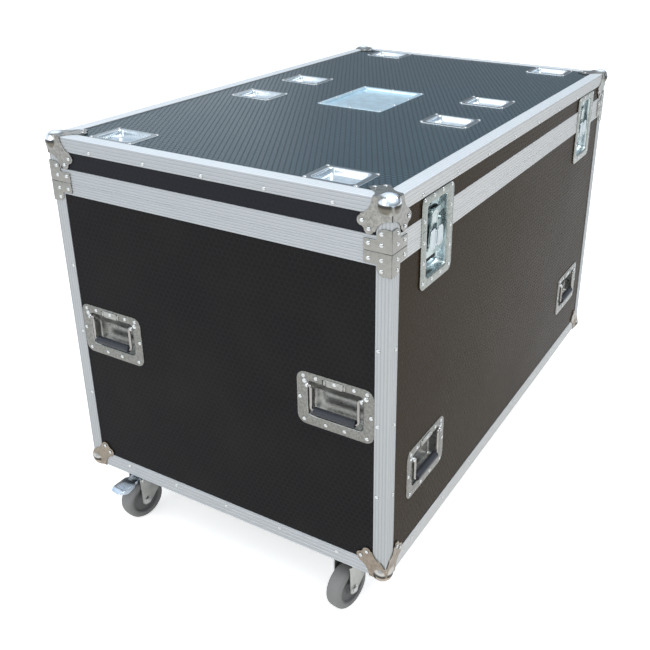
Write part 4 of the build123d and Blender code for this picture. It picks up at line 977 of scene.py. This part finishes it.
def plate(shape, outline, hole, low, high):
    """Flat plate with one hole: its two faces are filled between outline and hole."""
    work = bmesh.new()
    levels = []
    for z in (low, high):
        loops = [[work.verts.new((x, y, z)) for x, y in points] for points in (outline, hole)]
        edges = [work.edges.new(pair) for loop in loops for pair in zip(loop, loop[1:] + loop[:1])]
        bmesh.ops.triangle_fill(work, edges=edges, use_beauty=True)
        levels.append(loops)
    for below, above in zip(*levels):
        for corners in zip(below, below[1:] + below[:1], above[1:] + above[:1], above):
            work.faces.new(corners)
    shape.add_work(work)


def latch_keeper():
    """Bridge over the hook's lip, and a dark sheet of painted shade in the slot behind it."""
    over = [(-40, PAN_BACK), (-40, -13.4), (-39.6, -12.6), (-38.8, -12.3)]
    section = over + [(-x, out) for x, out in over[::-1]]
    section += [(38, PAN_BACK), (38, -14.3), (-38, -14.3), (-38, PAN_BACK)]
    shape = Shape().loft([[(x, up, out) for x, out in section] for up in (8, 21.4)])
    # Painted shade: a dark sheet stands for the slot behind the keeper
    return shape.prism(rounded(26, 10, 1.5, 0, 35, 3), PAN_BACK, PAN_BACK + 0.4, DARK)


# Painted light: the latch dish's flange and pan are lighter and darker copies of one pressed metal
latch_flange = make_metal("latch_flange", (0.365, 0.38, 0.35), 0.26, 0.2, 0.7, 520.0, shade=0.68)
latch_metal = make_metal("latch_zinc", (0.54, 0.60, 0.59), 0.2, 0.14, 0.5)
wing_metal = make_metal("wing_zinc", (0.56, 0.61, 0.63), 0.15, 0.12, 0.5)
pan_metal = make_metal("pan_zinc", (0.64, 0.71, 0.72), 0.22, 0.14, 0.6)
whole_dish = latch_dish()
dish_gap = LID_UNDER - SEAM
lower_dish, upper_dish = cut_shape(whole_dish, 0.0, False), cut_shape(whole_dish, dish_gap, True)
pan_metals, cover_metals = [latch_flange, shadow, pan_metal], [latch_metal, shadow]
fixed_parts = (
    ("dish", lower_dish, "base", pan_metals, "latch_dishes"),
    ("cover", latch_housing(), "base", cover_metals, "latch_housings"),
    ("lid_dish", upper_dish, "lid", pan_metals, "latch_keeper_dishes"),
    ("keeper", latch_keeper(), "lid", cover_metals, "latch_keepers"),
)
hub, hook, wing = latch_hub(), latch_hook(), latch_wing()
hook_axis = Matrix.Translation((0, HOOK_UP, HOOK_OUT))
tilt = hook_axis @ Matrix.Rotation(math.radians(HOOK_TILT), 4, "X") @ hook_axis.inverted()
hub_spot = Matrix.Translation((0, HUB_UP, 0))
wing_a_spot = Matrix.Translation((-WING_AXIS, HUB_UP, WING_OUT)) @ about_z(180)
wing_b_spot = Matrix.Translation((WING_AXIS, HUB_UP, WING_OUT))
for side, across in (("left", -LATCH_ACROSS), ("right", LATCH_ACROSS)):
    spot = on_face("front", across, SEAM)
    for part, made, body, metals, node in fixed_parts:
        replaced = [node] if side == "left" else []
        build(f"latch_{part}_{side}", made.at(spot), body, metals, replaced)
    for name, made, place, body, metal, node in (
        (f"latch_hub_{side}_piece", hub, hub_spot, f"latch_turn_{side}", wing_metal, f"latch_hub_{side}"),
        (f"latch_hook_{side}_piece", hook, tilt, f"hook_{side}", latch_metal, f"latch_hook_{side}"),
        (f"wing_{side}_a_piece", wing, wing_a_spot, f"wing_{side}_a", wing_metal, f"latch_wing_{side}_a"),
        (f"wing_{side}_b_piece", wing, wing_b_spot, f"wing_{side}_b", wing_metal, f"latch_wing_{side}_b"),
    ):
        build(name, made.at(spot @ place), body, [metal], [node])


# Ball corners: a smooth field of three lobe plates run into a ball

LOBE = [(-2, -2), (71, -2), (57, 43.5), (55.55, 55.55), (43.5, 57), (-2, 71)]
PLATE_OUT = -2.0
DIAGONAL = 1.4142
SLIT_HALF, SLIT_START, SLIT_END = 0.8, 25.5, 37.6


def soft_min(a, b, reach):
    share = np.maximum(reach - np.abs(a - b), 0) / reach
    return np.minimum(a, b) - share * share * reach / 4


def soft_max(a, b, reach):
    return -soft_min(-a, -b, reach)


def polygon_field(u, v, corners):
    """Distance to a polygon's edge, below 0 inside."""
    nearest = np.full(u.shape, 1e9)
    sign = np.ones(u.shape)
    for (ax, ay), (bx, by) in zip(corners, corners[1:] + corners[:1]):
        ex, ey = bx - ax, by - ay
        wx, wy = u - ax, v - ay
        share = np.clip((wx * ex + wy * ey) / (ex * ex + ey * ey), 0, 1)
        nearest = np.minimum(nearest, (wx - ex * share) ** 2 + (wy - ey * share) ** 2)
        above, below, left = v >= ay, v < by, ex * wy > ey * wx
        sign = np.where((above & below & left) | (~above & ~below & ~left), -sign, sign)
    return sign * np.sqrt(nearest)


def lobe_field(u, v):
    """One plate's outline: a polygon with two round ears and two round bites."""
    shape = polygon_field(u, v, LOBE)
    for cu, cv in ((57, 43.5), (43.5, 57)):
        shape = soft_min(shape, np.hypot(u - cu, v - cv) - 10, 3)
    for cu, cv in ((71, 0), (0, 71)):
        shape = soft_max(shape, 33 - np.hypot(u - cu, v - cv), 2)
    return shape


def corner_field(points, flange):
    """Distance to the corner's surface, below 0 inside, with the case's corner at 0."""
    axes = [(points[:, axis], points[:, (axis + 1) % 3], points[:, (axis + 2) % 3]) for axis in range(3)]
    plates = np.full(len(points), 1e9)
    edge = 0.5
    for out, u, v in axes:
        # The plate steps down from the edging to the panel
        nearer = np.minimum(u, v)
        step = np.clip((nearer - flange + 1) / 4, 0, 1)
        top = PLATE_OUT + 0.55 * step * step * (3 - 2 * step)
        under = np.where(nearer > flange + 1, 1.75, 0.0)
        across = lobe_field(u, v) + edge
        through = np.maximum(top - out, out - under) + edge
        beyond = np.hypot(np.maximum(across, 0), np.maximum(through, 0))
        plates = np.minimum(plates, beyond + np.minimum(np.maximum(across, through), 0) - edge)
    for axis, (along, a, b) in enumerate(axes):
        # The base's plates open in a V on the upright
        opening = 0.0
        if flange == BASE_FLANGE and axis == 2:
            opening = 0.6 * np.maximum(along - V_FOOT, 0)
        aside, outward = np.abs(a - b) / DIAGONAL, (a + b) / DIAGONAL
        slit = np.maximum(aside - (SLIT_HALF + opening), outward - 1.5 * opening + 0.9)
        plates = np.maximum(plates, -np.maximum(slit, SLIT_START - along))
    plates = np.maximum(plates, BALL_CENTRE - points.max(axis=1))
    ball = np.sqrt(((points - BALL_CENTRE) ** 2).sum(axis=1)) - BALL_RADIUS
    return np.maximum(soft_min(plates, ball, 5), points.min(axis=1) - METAL_WALL)


def surface_net(field, low, step):
    """Points and quads on the zero level of a field sampled on a cubic grid."""
    inside = field < 0
    corners = [(i, j, k) for i in (0, 1) for j in (0, 1) for k in (0, 1)]
    window = {corner: tuple(slice(c, c + s - 1) for c, s in zip(corner, field.shape)) for corner in corners}
    count = sum(inside[part].astype(np.int8) for part in window.values())
    mixed = (count > 0) & (count < 8)
    index = np.full(mixed.shape, -1)
    index[mixed] = np.arange(mixed.sum())
    cells = np.argwhere(mixed)
    total, number = np.zeros((len(cells), 3)), np.zeros(len(cells))
    for first in corners:
        for axis in range(3):
            if first[axis]:
                continue
            last = tuple(c + (a == axis) for a, c in enumerate(first))
            near, far = field[window[first]][mixed], field[window[last]][mixed]
            cross = (near < 0) != (far < 0)
            place = cells + np.array(first, dtype=float)
            place[:, axis] += np.where(cross, near / np.where(cross, near - far, 1), 0)
            total[cross] += place[cross]
            number += cross
    quads = []
    for axis in range(3):
        near = [slice(1, -1)] * 3
        far = list(near)
        near[axis], far[axis] = slice(0, -1), slice(1, None)
        a, b = inside[tuple(near)], inside[tuple(far)]
        for turned, change in ((False, a & ~b), (True, ~a & b)):
            around = []
            for du, dv in ((0, 0), (1, 0), (1, 1), (0, 1)):
                cell = np.argwhere(change)
                cell[:, (axis + 1) % 3] += du
                cell[:, (axis + 2) % 3] += dv
                around.append(index[tuple(cell.T)])
            quads.append(np.stack(around[::-1] if turned else around, axis=1))
    return low + step * total / number[:, None], np.concatenate(quads)


def corner_shape(flange):
    """The field's surface, with a dark strip of painted shade below the slit of the lid's corners."""
    start, reach, step, nudge = -9.6, 79.5, 0.85, 0.05
    count = int(reach / step)
    line = np.arange(count) * step + start
    grid = np.stack(np.meshgrid(line, line, line, indexing="ij"), axis=-1).reshape(-1, 3)
    field = corner_field(grid, flange).reshape(count, count, count)
    points, quads = surface_net(field, start, step)
    for _ in range(3):
        # Each point moves down the field's slope onto the surface
        here = corner_field(points, flange)
        rises = [
            corner_field(points + shift, flange) - corner_field(points - shift, flange)
            for shift in np.eye(3) * nudge
        ]
        slope = np.stack(rises, axis=1) / (2 * nudge)
        move = here / np.maximum((slope**2).sum(axis=1), 0.25)
        points -= np.clip(slope * move[:, None], -0.3 * step, 0.3 * step)
    work = bmesh.new()
    made = [work.verts.new(tuple(point)) for point in points]
    for quad in quads:
        work.faces.new([made[corner] for corner in quad])
    bmesh.ops.dissolve_limit(work, angle_limit=math.radians(2.2), verts=work.verts, edges=work.edges)
    shape = Shape().add_work(work)
    if flange == LID_FLANGE:
        # Painted shade: a dark strip below the slit
        dark_line = rectangle(-0.75, -1.5, 0.75, -0.4)
        shape.prism(dark_line, SLIT_START, SLIT_END, DARK, frame_at(ORIGIN, (1, -1, 0), Z))
    return shape


def corner_places(level, up):
    """Name and place of each corner, for a shape whose X and Y run inwards and Z up or down."""
    order = ((-1, -1), (1, -1), (1, 1), (-1, 1)) if up else ((-1, 1), (-1, -1), (1, -1), (1, 1))
    for quarter, (sx, sy) in enumerate(order):
        place = Matrix.Translation((sx * HALF_X, sy * HALF_Y, level)) @ about_z(90 * quarter)
        if not up:
            place = place @ Matrix.Rotation(math.pi, 4, "X")
        yield ("front" if sy < 0 else "back") + "_" + ("left" if sx < 0 else "right"), place


def build_at_corners(node, body, kind, shape, metals, level, up, smooth=32.0):
    """One piece at each of four corners, the first of which replaces the node."""
    replaced = [node]
    for side, place in corner_places(level, up):
        build(f"{body}_{kind}_{side}", shape.at(place), body, metals, replaced, smooth)
        replaced = []


def make_corner_metal():
    """Plated steel with mottled patches; the ball is painted with a bright highlight on top and a dark
    reflection below, and the base's corners are painted darker and warmer as shade.
    """
    made, nodes, shader, point, normal = textured("corner_steel")
    middle, half = (UNDER + TOP) / 2, (TOP - UNDER) / 2
    shifted = nodes.vmath("ABSOLUTE", nodes.vmath("SUBTRACT", point, (0, 0, middle * MM)))
    centre = tuple((reach - BALL_CENTRE) * MM for reach in (HALF_X, HALF_Y, half))
    on_ball = nodes.smooth(nodes.vmath("DISTANCE", shifted, centre), 21.6 * MM, 20.6 * MM)
    cloud = nodes.noise(point, 150.0, 5.0, 0.75)
    fine = nodes.noise(point, 900.0, 3.0)
    patches = nodes.smooth(cloud, 0.3, 0.7)
    in_base = nodes.smooth(nodes.split(point)[2], 0.7, 0.4)
    upward = nodes.split(normal)[2]

    plate_tone = nodes.mix(patches, (0.21, 0.20, 0.185), (0.38, 0.37, 0.345))
    # Painted shade: the base's plates are darker and warmer towards the bottom
    base_painted_shade = nodes.mix(patches, (0.22, 0.185, 0.145), (0.345, 0.29, 0.235))
    plate_tone = nodes.mix(in_base, plate_tone, base_painted_shade)
    # Painted highlight on the ball's upward side, and a painted dark reflection on its underside
    ball_painted_highlight = nodes.mix(in_base, (0.92, 0.95, 0.99), (0.50, 0.48, 0.45))
    low_side = nodes.mix(in_base, (0.17, 0.155, 0.13), (0.40, 0.33, 0.26))
    ball_painted_dark_reflection = nodes.mix(nodes.smooth(upward, -0.02, -0.24), (0.06, 0.058, 0.052), low_side)
    ball_edge = nodes.math("ADD", upward, nodes.math("MULTIPLY", nodes.math("SUBTRACT", cloud, 0.5), 0.12))
    ball_tone = nodes.mix(nodes.smooth(ball_edge, 0.10, 0.24), ball_painted_dark_reflection, ball_painted_highlight)
    height = nodes.math("ADD", nodes.math("MULTIPLY", fine, 0.08), nodes.math("MULTIPLY", cloud, 0.4))
    nodes.fill(
        shader,
        Metallic=1.0,
        Base_Color=nodes.mix(on_ball, plate_tone, ball_tone),
        Roughness=nodes.blend(on_ball, nodes.line(cloud, 0.14, 0.13), 0.07),
        Normal=nodes.bump(height, 0.1),
    )
    return made


corner_metals = [make_corner_metal(), shadow]
for node, body, level, up, flange in (
    ("base_ball_corners", "base", UNDER, True, BASE_FLANGE),
    ("lid_ball_corners", "lid", TOP, False, LID_FLANGE),
):
    build_at_corners(node, body, "corner", corner_shape(flange), corner_metals, level, up, 50)


# Corner braces

WELD_MARK = 2


def brace_shape():
    """Two plates at a right angle, with weld marks and a dark strip of painted shade in the seam on the
    corner.
    """
    shape = Shape()
    outline = [(-1.3, 0), (53.2, 0), (54, 0.8), (54, 20.8), (52.8, 22), (30.2, 22), (28.6, 22.7)]
    outline += [(28, 24.2), (28, 29)] + arc(14, 29, 14, 0, 90, 8)[1:] + [(-1.3, 43)]
    mark = [(0, 2.02), (1.0, 2.02), (1.3, 1.9), (0, 1.9)]
    flipped = [(x, -y) for x, y in outline][::-1]
    for place, points, up in (
        (along_y(*ORIGIN, side=-1), outline, 1),
        (frame_at(ORIGIN, Y, (-1, 0, 0)), flipped, -1),
    ):
        shape.prism(points, 0, 2, 0, place, 0.8, 3)
        for height in (6.5, 17.5, 31.5):
            shape.lathe(mark, 10, WELD_MARK, place @ Matrix.Translation((2.6, up * height, 0)))
    # Painted shade: a dark strip fills the seam on the corner
    return shape.prism(rectangle(-1.5, -1.5, -0.3, -0.3), 0.2, 42.8, DARK)


brace_metal = make_metal("brace_steel", (0.33, 0.32, 0.295), 0.26, 0.2, 0.7, 420.0)
weld_mark = make_metal("weld_mark", (0.32, 0.31, 0.30), 0.4, 0.1)
brace_metals = [brace_metal, shadow, weld_mark]
brace = brace_shape()
build_at_corners("lid_corner_braces", "lid", "brace", brace, brace_metals, LID_UNDER, True)
build_at_corners("base_corner_braces", "base", "brace", brace, brace_metals, SEAM, False)


# Castors: the kingpin stands at 0, the trail runs along X and the top plate's face is at Z 0

CASTOR_TOP = 132.0
AXLE_X, AXLE_Z = 38.0, -81.0
PIVOT_X, PIVOT_Z = 44.0, -21.1
FORK_TOP, FORK_HALF = -17.1, 23.0
CASTOR_X, CASTOR_Y = 568.5, 291.0
CASTORS = {
    "front_left": (-CASTOR_X, -CASTOR_Y, 172, False),
    "front_right": (CASTOR_X, -CASTOR_Y, 350, True),
    "back_right": (CASTOR_X, CASTOR_Y, 352, False),
    "back_left": (-CASTOR_X, CASTOR_Y, 170, True),
}
BOLT = 1


def hexagon(radius, turn):
    return arc(0, 0, radius, turn, turn + 300, 5)


def castor_top():
    """Top plate, bearing race, kingpin and four bolts."""
    shape = Shape().prism(rounded(100, 85, 8, 0, 0, 5), -3.2, 0, 0, None, 0.7)
    race = [
        (0, -10.7), (23.8, -10.7), (25.8, -10.2), (26.8, -9.0), (27, -7.4), (26.6, -6.4), (25.6, -5.8),
        (25.4, -5.2), (26.4, -4.4), (26.6, -3.2), (0, -3.2),
    ]
    kingpin = [
        (0, -24.5), (5.2, -24.5), (7.6, -24.1), (8.8, -23.2), (9, -22.4), (8.8, -21.5), (6, -21.5),
        (6, -10.6), (0, -10.6),
    ]
    shape.lathe(race, 48).lathe(kingpin, 28)
    for sx in (-40, 40):
        for sy in (-30, 30):
            place = Matrix.Translation((sx, sy, 0))
            shape.lathe([(0, -4.0), (7.4, -4.0), (7.6, -3.7), (7.6, -3.2), (0, -3.2)], 24, BOLT, place)
            shape.prism(hexagon(6.4, 8 * (sx + sy)), -8.5, -4.0, BOLT, place, 0.5)
            shape.lathe([(0, -9.8), (3.2, -9.8), (3.8, -9.2), (3.8, -8.4), (0, -8.4)], 16, BOLT, place)
    return shape


def fork_shape(braked):
    """Bearing cup, bent head, two legs and the axle, with the brake's pin if braked."""
    cup = [
        (6.2, FORK_TOP), (28.2, FORK_TOP), (28.5, -16.6), (28.5, -13.0), (28.1, -11.8), (27.0, -11.1),
        (24.6, -11.1), (23.6, -11.7), (22.4, -13.4), (20, -13.8), (12, -13.8), (6.2, -13.8),
    ]
    shape = Shape().torus_lathe(cup, 48)
    leg = [(-20.5, FORK_TOP), (-22, -18.6), (-22, -38.5)] + arc(AXLE_X, AXLE_Z, 13, 222, 360, 12)
    leg += [(52, -23.0), (52, -18.6), (50.5, FORK_TOP)]
    for low, high in ((-FORK_HALF, 3 - FORK_HALF), (FORK_HALF - 3, FORK_HALF)):
        shape.prism(leg, low, high, 0, along_y(*ORIGIN, side=-1), 0.6, 3)
    bend, half = 2.6, FORK_HALF - 0.1
    head = arc(bend - half, FORK_TOP - bend, bend, 90, 180, 5) + [(-half, -21.1), (half, -21.1)]
    head += arc(half - bend, FORK_TOP - bend, bend, 0, 90, 5)
    shape.prism(head, -22, 37, 0, along_x(*ORIGIN), 0.4)
    for side in (-1, 1):
        place = along_y(AXLE_X, 0, AXLE_Z, side=side)
        shape.lathe([(0, 23), (9.2, 23), (9.6, 23.3), (9.6, 24.1), (9.2, 24.4), (0, 24.4)], 32, BOLT, place)
        shape.prism(hexagon(7.5, 12), 24.4, 27.6, BOLT, place, 0.7)
        shape.lathe([(0, 28.0), (3.8, 28.0), (4.4, 27.5), (4.6, 27.5), (0, 27.5)], 20, BOLT, place)
        shape.lathe(pin(8.2, 18.3, 20), 24, BOLT, place)
        if braked:
            rivet = [(0, 23), (4.6, 23), (5, 23.3), (4.7, 24.2), (3.4, 24.8), (0, 25.0)]
            shape.lathe(rivet, 24, BOLT, along_y(PIVOT_X, 0, PIVOT_Z, side=side))
    shape.lathe(pin(6, -19, 19), 24, BOLT, along_y(AXLE_X, 0, AXLE_Z))
    if braked:
        shape.lathe(pin(3, -FORK_HALF, FORK_HALF), 20, BOLT, along_y(PIVOT_X, 0, PIVOT_Z))
    return shape


def wheel_shape():
    """Tyre, core and a bearing cap on each side."""
    place = along_y(AXLE_X, 0, AXLE_Z)
    tread = [
        (36.8, 17.0), (37.4, 17.6), (39, 18), (42.4, 18), (45.3, 17.3), (47.8, 15.4), (49.6, 12.6), (50.5, 9),
        (50.9, 5), (51, 0.5), (50.85, 0.25),
    ]
    core = [
        (6.05, 18), (12.4, 18), (13.6, 17.6), (14.2, 16.6), (15.4, 12.2), (17.0, 11.2), (29.6, 11.2),
        (31.2, 11.8), (32.2, 13.4), (33.2, 16.2), (34.4, 17.0), (36.9, 17.0),
    ]
    cap = [(6.1, 17.9), (10.4, 17.9), (10.8, 18.15), (10.2, 18.5), (8.6, 18.7), (6.1, 18.7)]
    shape = Shape().torus_lathe(mirrored(tread), 72, 0, place).torus_lathe(mirrored(core), 60, 1, place)
    for side in (-1, 1):
        shape.torus_lathe(cap, 28, 2, along_y(AXLE_X, 0, AXLE_Z, side=side))
    return shape


def pedal_section(half, lip):
    """Channel section (across, up) open downwards, its top at 0 and its sides lip deep."""
    wall, bend = 1.8, 2.4
    lip = max(lip, bend + 0.3)
    over, under = [(-half, -lip)], [(wall - half, -lip)]
    for angle in (0, 0.52, 1.05, math.pi / 2):
        over.append((-half + bend * (1 - math.cos(angle)), -bend * (1 - math.sin(angle))))
        inner = bend - wall
        under.append((-half + bend - inner * math.cos(angle), -bend + inner * math.sin(angle)))
    return over + [(-y, z) for y, z in over[::-1]] + [(-y, z) for y, z in under] + under[::-1]


def pedal_shape():
    """Brake pedal. Each station has its place along, its top, its half width and its lip."""
    stations = [
        (41.5, -18.6, 13.6, 5.5), (44, -16.1, 14.6, 7.5), (50, -16.9, 15, 8.2), (57, -18.0, 15, 8.8),
        (60.5, -18.5, 15.3, 9.2), (63.5, -18.9, 18.6, 9.6), (66, -19.3, 20, 10.2), (75, -20.6, 20, 12.4),
        (81, -21.5, 20, 13.8), (84.5, -22.0, 20, 13.9), (91, -22.9, 20, 11.2), (96, -23.7, 19.8, 8.2),
        (99, -24.1, 19.4, 6.2), (102, -25.2, 18.4, 4.4), (105.5, -26.7, 16.4, 3.2), (108, -27.7, 13.6, 2.8),
        (109, -28.1, 10.8, 2.7),
    ]
    lean = 0.2
    rings = []
    for x, top, half, lip in stations:
        rings.append([(x - lean * z, y, top + z) for y, z in pedal_section(half, lip)])
    barrel = mirrored([(3.05, -15), (4.7, -15), (5, -14.6)])
    shape = Shape().loft(rings).torus_lathe(barrel, 24, 0, along_y(PIVOT_X, 0, PIVOT_Z))
    shape.prism(rounded(8, 26, 1.5, 57, 0, 3), -27.7, -18.8, 1, None, 0.6)
    for x, up in ((87.5, -22.2), (92.0, -22.9)):
        shape.prism(rounded(26, 1.5, 0.7, 0, up, 3), x - 0.9, x + 0.9, 0, along_x(*ORIGIN), 0.5)
    return shape


castor_metal = make_metal("castor_zinc", (0.50, 0.50, 0.475), 0.3, 0.16, 0.5)
pedal_metal = make_metal("pedal_zinc", (0.72, 0.80, 0.90), 0.18, 0.14, 0.5)
core_rubber = make_plain("wheel_core", (0.15, 0.145, 0.14), 0.5)
top, wheel, pedal = castor_top(), wheel_shape(), pedal_shape()
forks = {braked: fork_shape(braked) for braked in (False, True)}
wheel_metals, pedal_metals = [tyre, core_rubber, castor_metal], [pedal_metal, castor_metal]
metals = [castor_metal, bright]
replaced = ["castor_plates"]
for name, (x, y, heading, braked) in CASTORS.items():
    still = Matrix.Translation((x, y, CASTOR_TOP))
    turned = still @ about_z(heading)
    build(f"castor_top_{name}", top.at(still), "base", metals, replaced)
    replaced = []
    fork = forks[braked].at(turned)
    build(f"fork_{name}", fork, f"castor_{name}", metals, [f"castor_fork_{name}"])
    body = f"wheel_{name}"
    build(f"{body}_piece", wheel.at(turned), body, wheel_metals, [f"castor_wheel_{name}"])
    if braked:
        body = f"pedal_{name}"
        build(f"{body}_piece", pedal.at(turned), body, pedal_metals, [f"brake_pedal_{name}"])


# Studio

world = bpy.data.worlds.new("studio")
scene.world = world
world.use_nodes = True
nodes = Nodes(world.node_tree)
heading = nodes.add("ShaderNodeTexCoord").outputs["Generated"]
height = nodes.split(heading)[2]
sky = nodes.mix(nodes.smooth(height, 0.05, 0.55), (0.25, 0.265, 0.28), (0.72, 0.86, 0.99))
sky = nodes.mix(nodes.smooth(height, 0.45, 0.90), sky, (1.10, 1.18, 1.26))
aside = nodes.vmath("DOT_PRODUCT", heading, (-0.487, 0.873, 0.0))
patch = nodes.math("MULTIPLY", nodes.smooth(aside, 0.04, 0.16), nodes.smooth(height, 0.50, 0.22))
sky = nodes.mix(nodes.math("MULTIPLY", patch, 0.85), sky, (1.02, 1.12, 1.20))
lit_world = nodes.fill(nodes.add("ShaderNodeBackground"), Color=sky, Strength=0.95)
# The camera itself sees plain white
seen_world = nodes.fill(nodes.add("ShaderNodeBackground"), Color=(1, 1, 1))
camera_ray = nodes.add("ShaderNodeLightPath").outputs["Is Camera Ray"]
parts = (camera_ray, lit_world.outputs[0], seen_world.outputs[0])
either = nodes.fill_in_order(nodes.add("ShaderNodeMixShader"), parts)
nodes.fill(nodes.add("ShaderNodeOutputWorld"), Surface=either.outputs[0])


def area_light(name, place, power):
    """Square lamp aimed at the case's middle."""
    data = bpy.data.lights.new(name, "AREA")
    data.size = 2.5
    data.energy = power
    lamp = bpy.data.objects.new(name, data)
    scene.collection.objects.link(lamp)
    lamp.location = place
    lamp.rotation_mode = "QUATERNION"
    lamp.rotation_quaternion = (Vector((0, 0, 0.5)) - Vector(place)).to_track_quat("-Z", "Y")


area_light("key", (-1.0, -2.0, 3.6), 70)
area_light("fill", (-4.0, 1.5, 2.2), 25)

floor_half = 30
mesh = bpy.data.meshes.new("floor")
corners = rectangle(-floor_half, -floor_half, floor_half, floor_half)
mesh.from_pydata([(x, y, 0) for x, y in corners], [], [(0, 1, 2, 3)])
floor = bpy.data.objects.new("floor", mesh)
scene.collection.objects.link(floor)
floor_material, nodes, shader = material("floor")
path = nodes.add("ShaderNodeLightPath").outputs
seen = nodes.math("MAXIMUM", path["Is Glossy Ray"], path["Is Transmission Ray"])
seen = nodes.math("MAXIMUM", seen, nodes.math("MULTIPLY", path["Is Camera Ray"], 4.0))
glow = nodes.math("MULTIPLY", seen, 0.15)
nodes.fill(shader, Base_Color=(0.95, 0.92, 0.885), Roughness=0.9)
nodes.fill(shader, Emission_Color=(1, 1, 1), Emission_Strength=glow)
mesh.materials.append(floor_material)
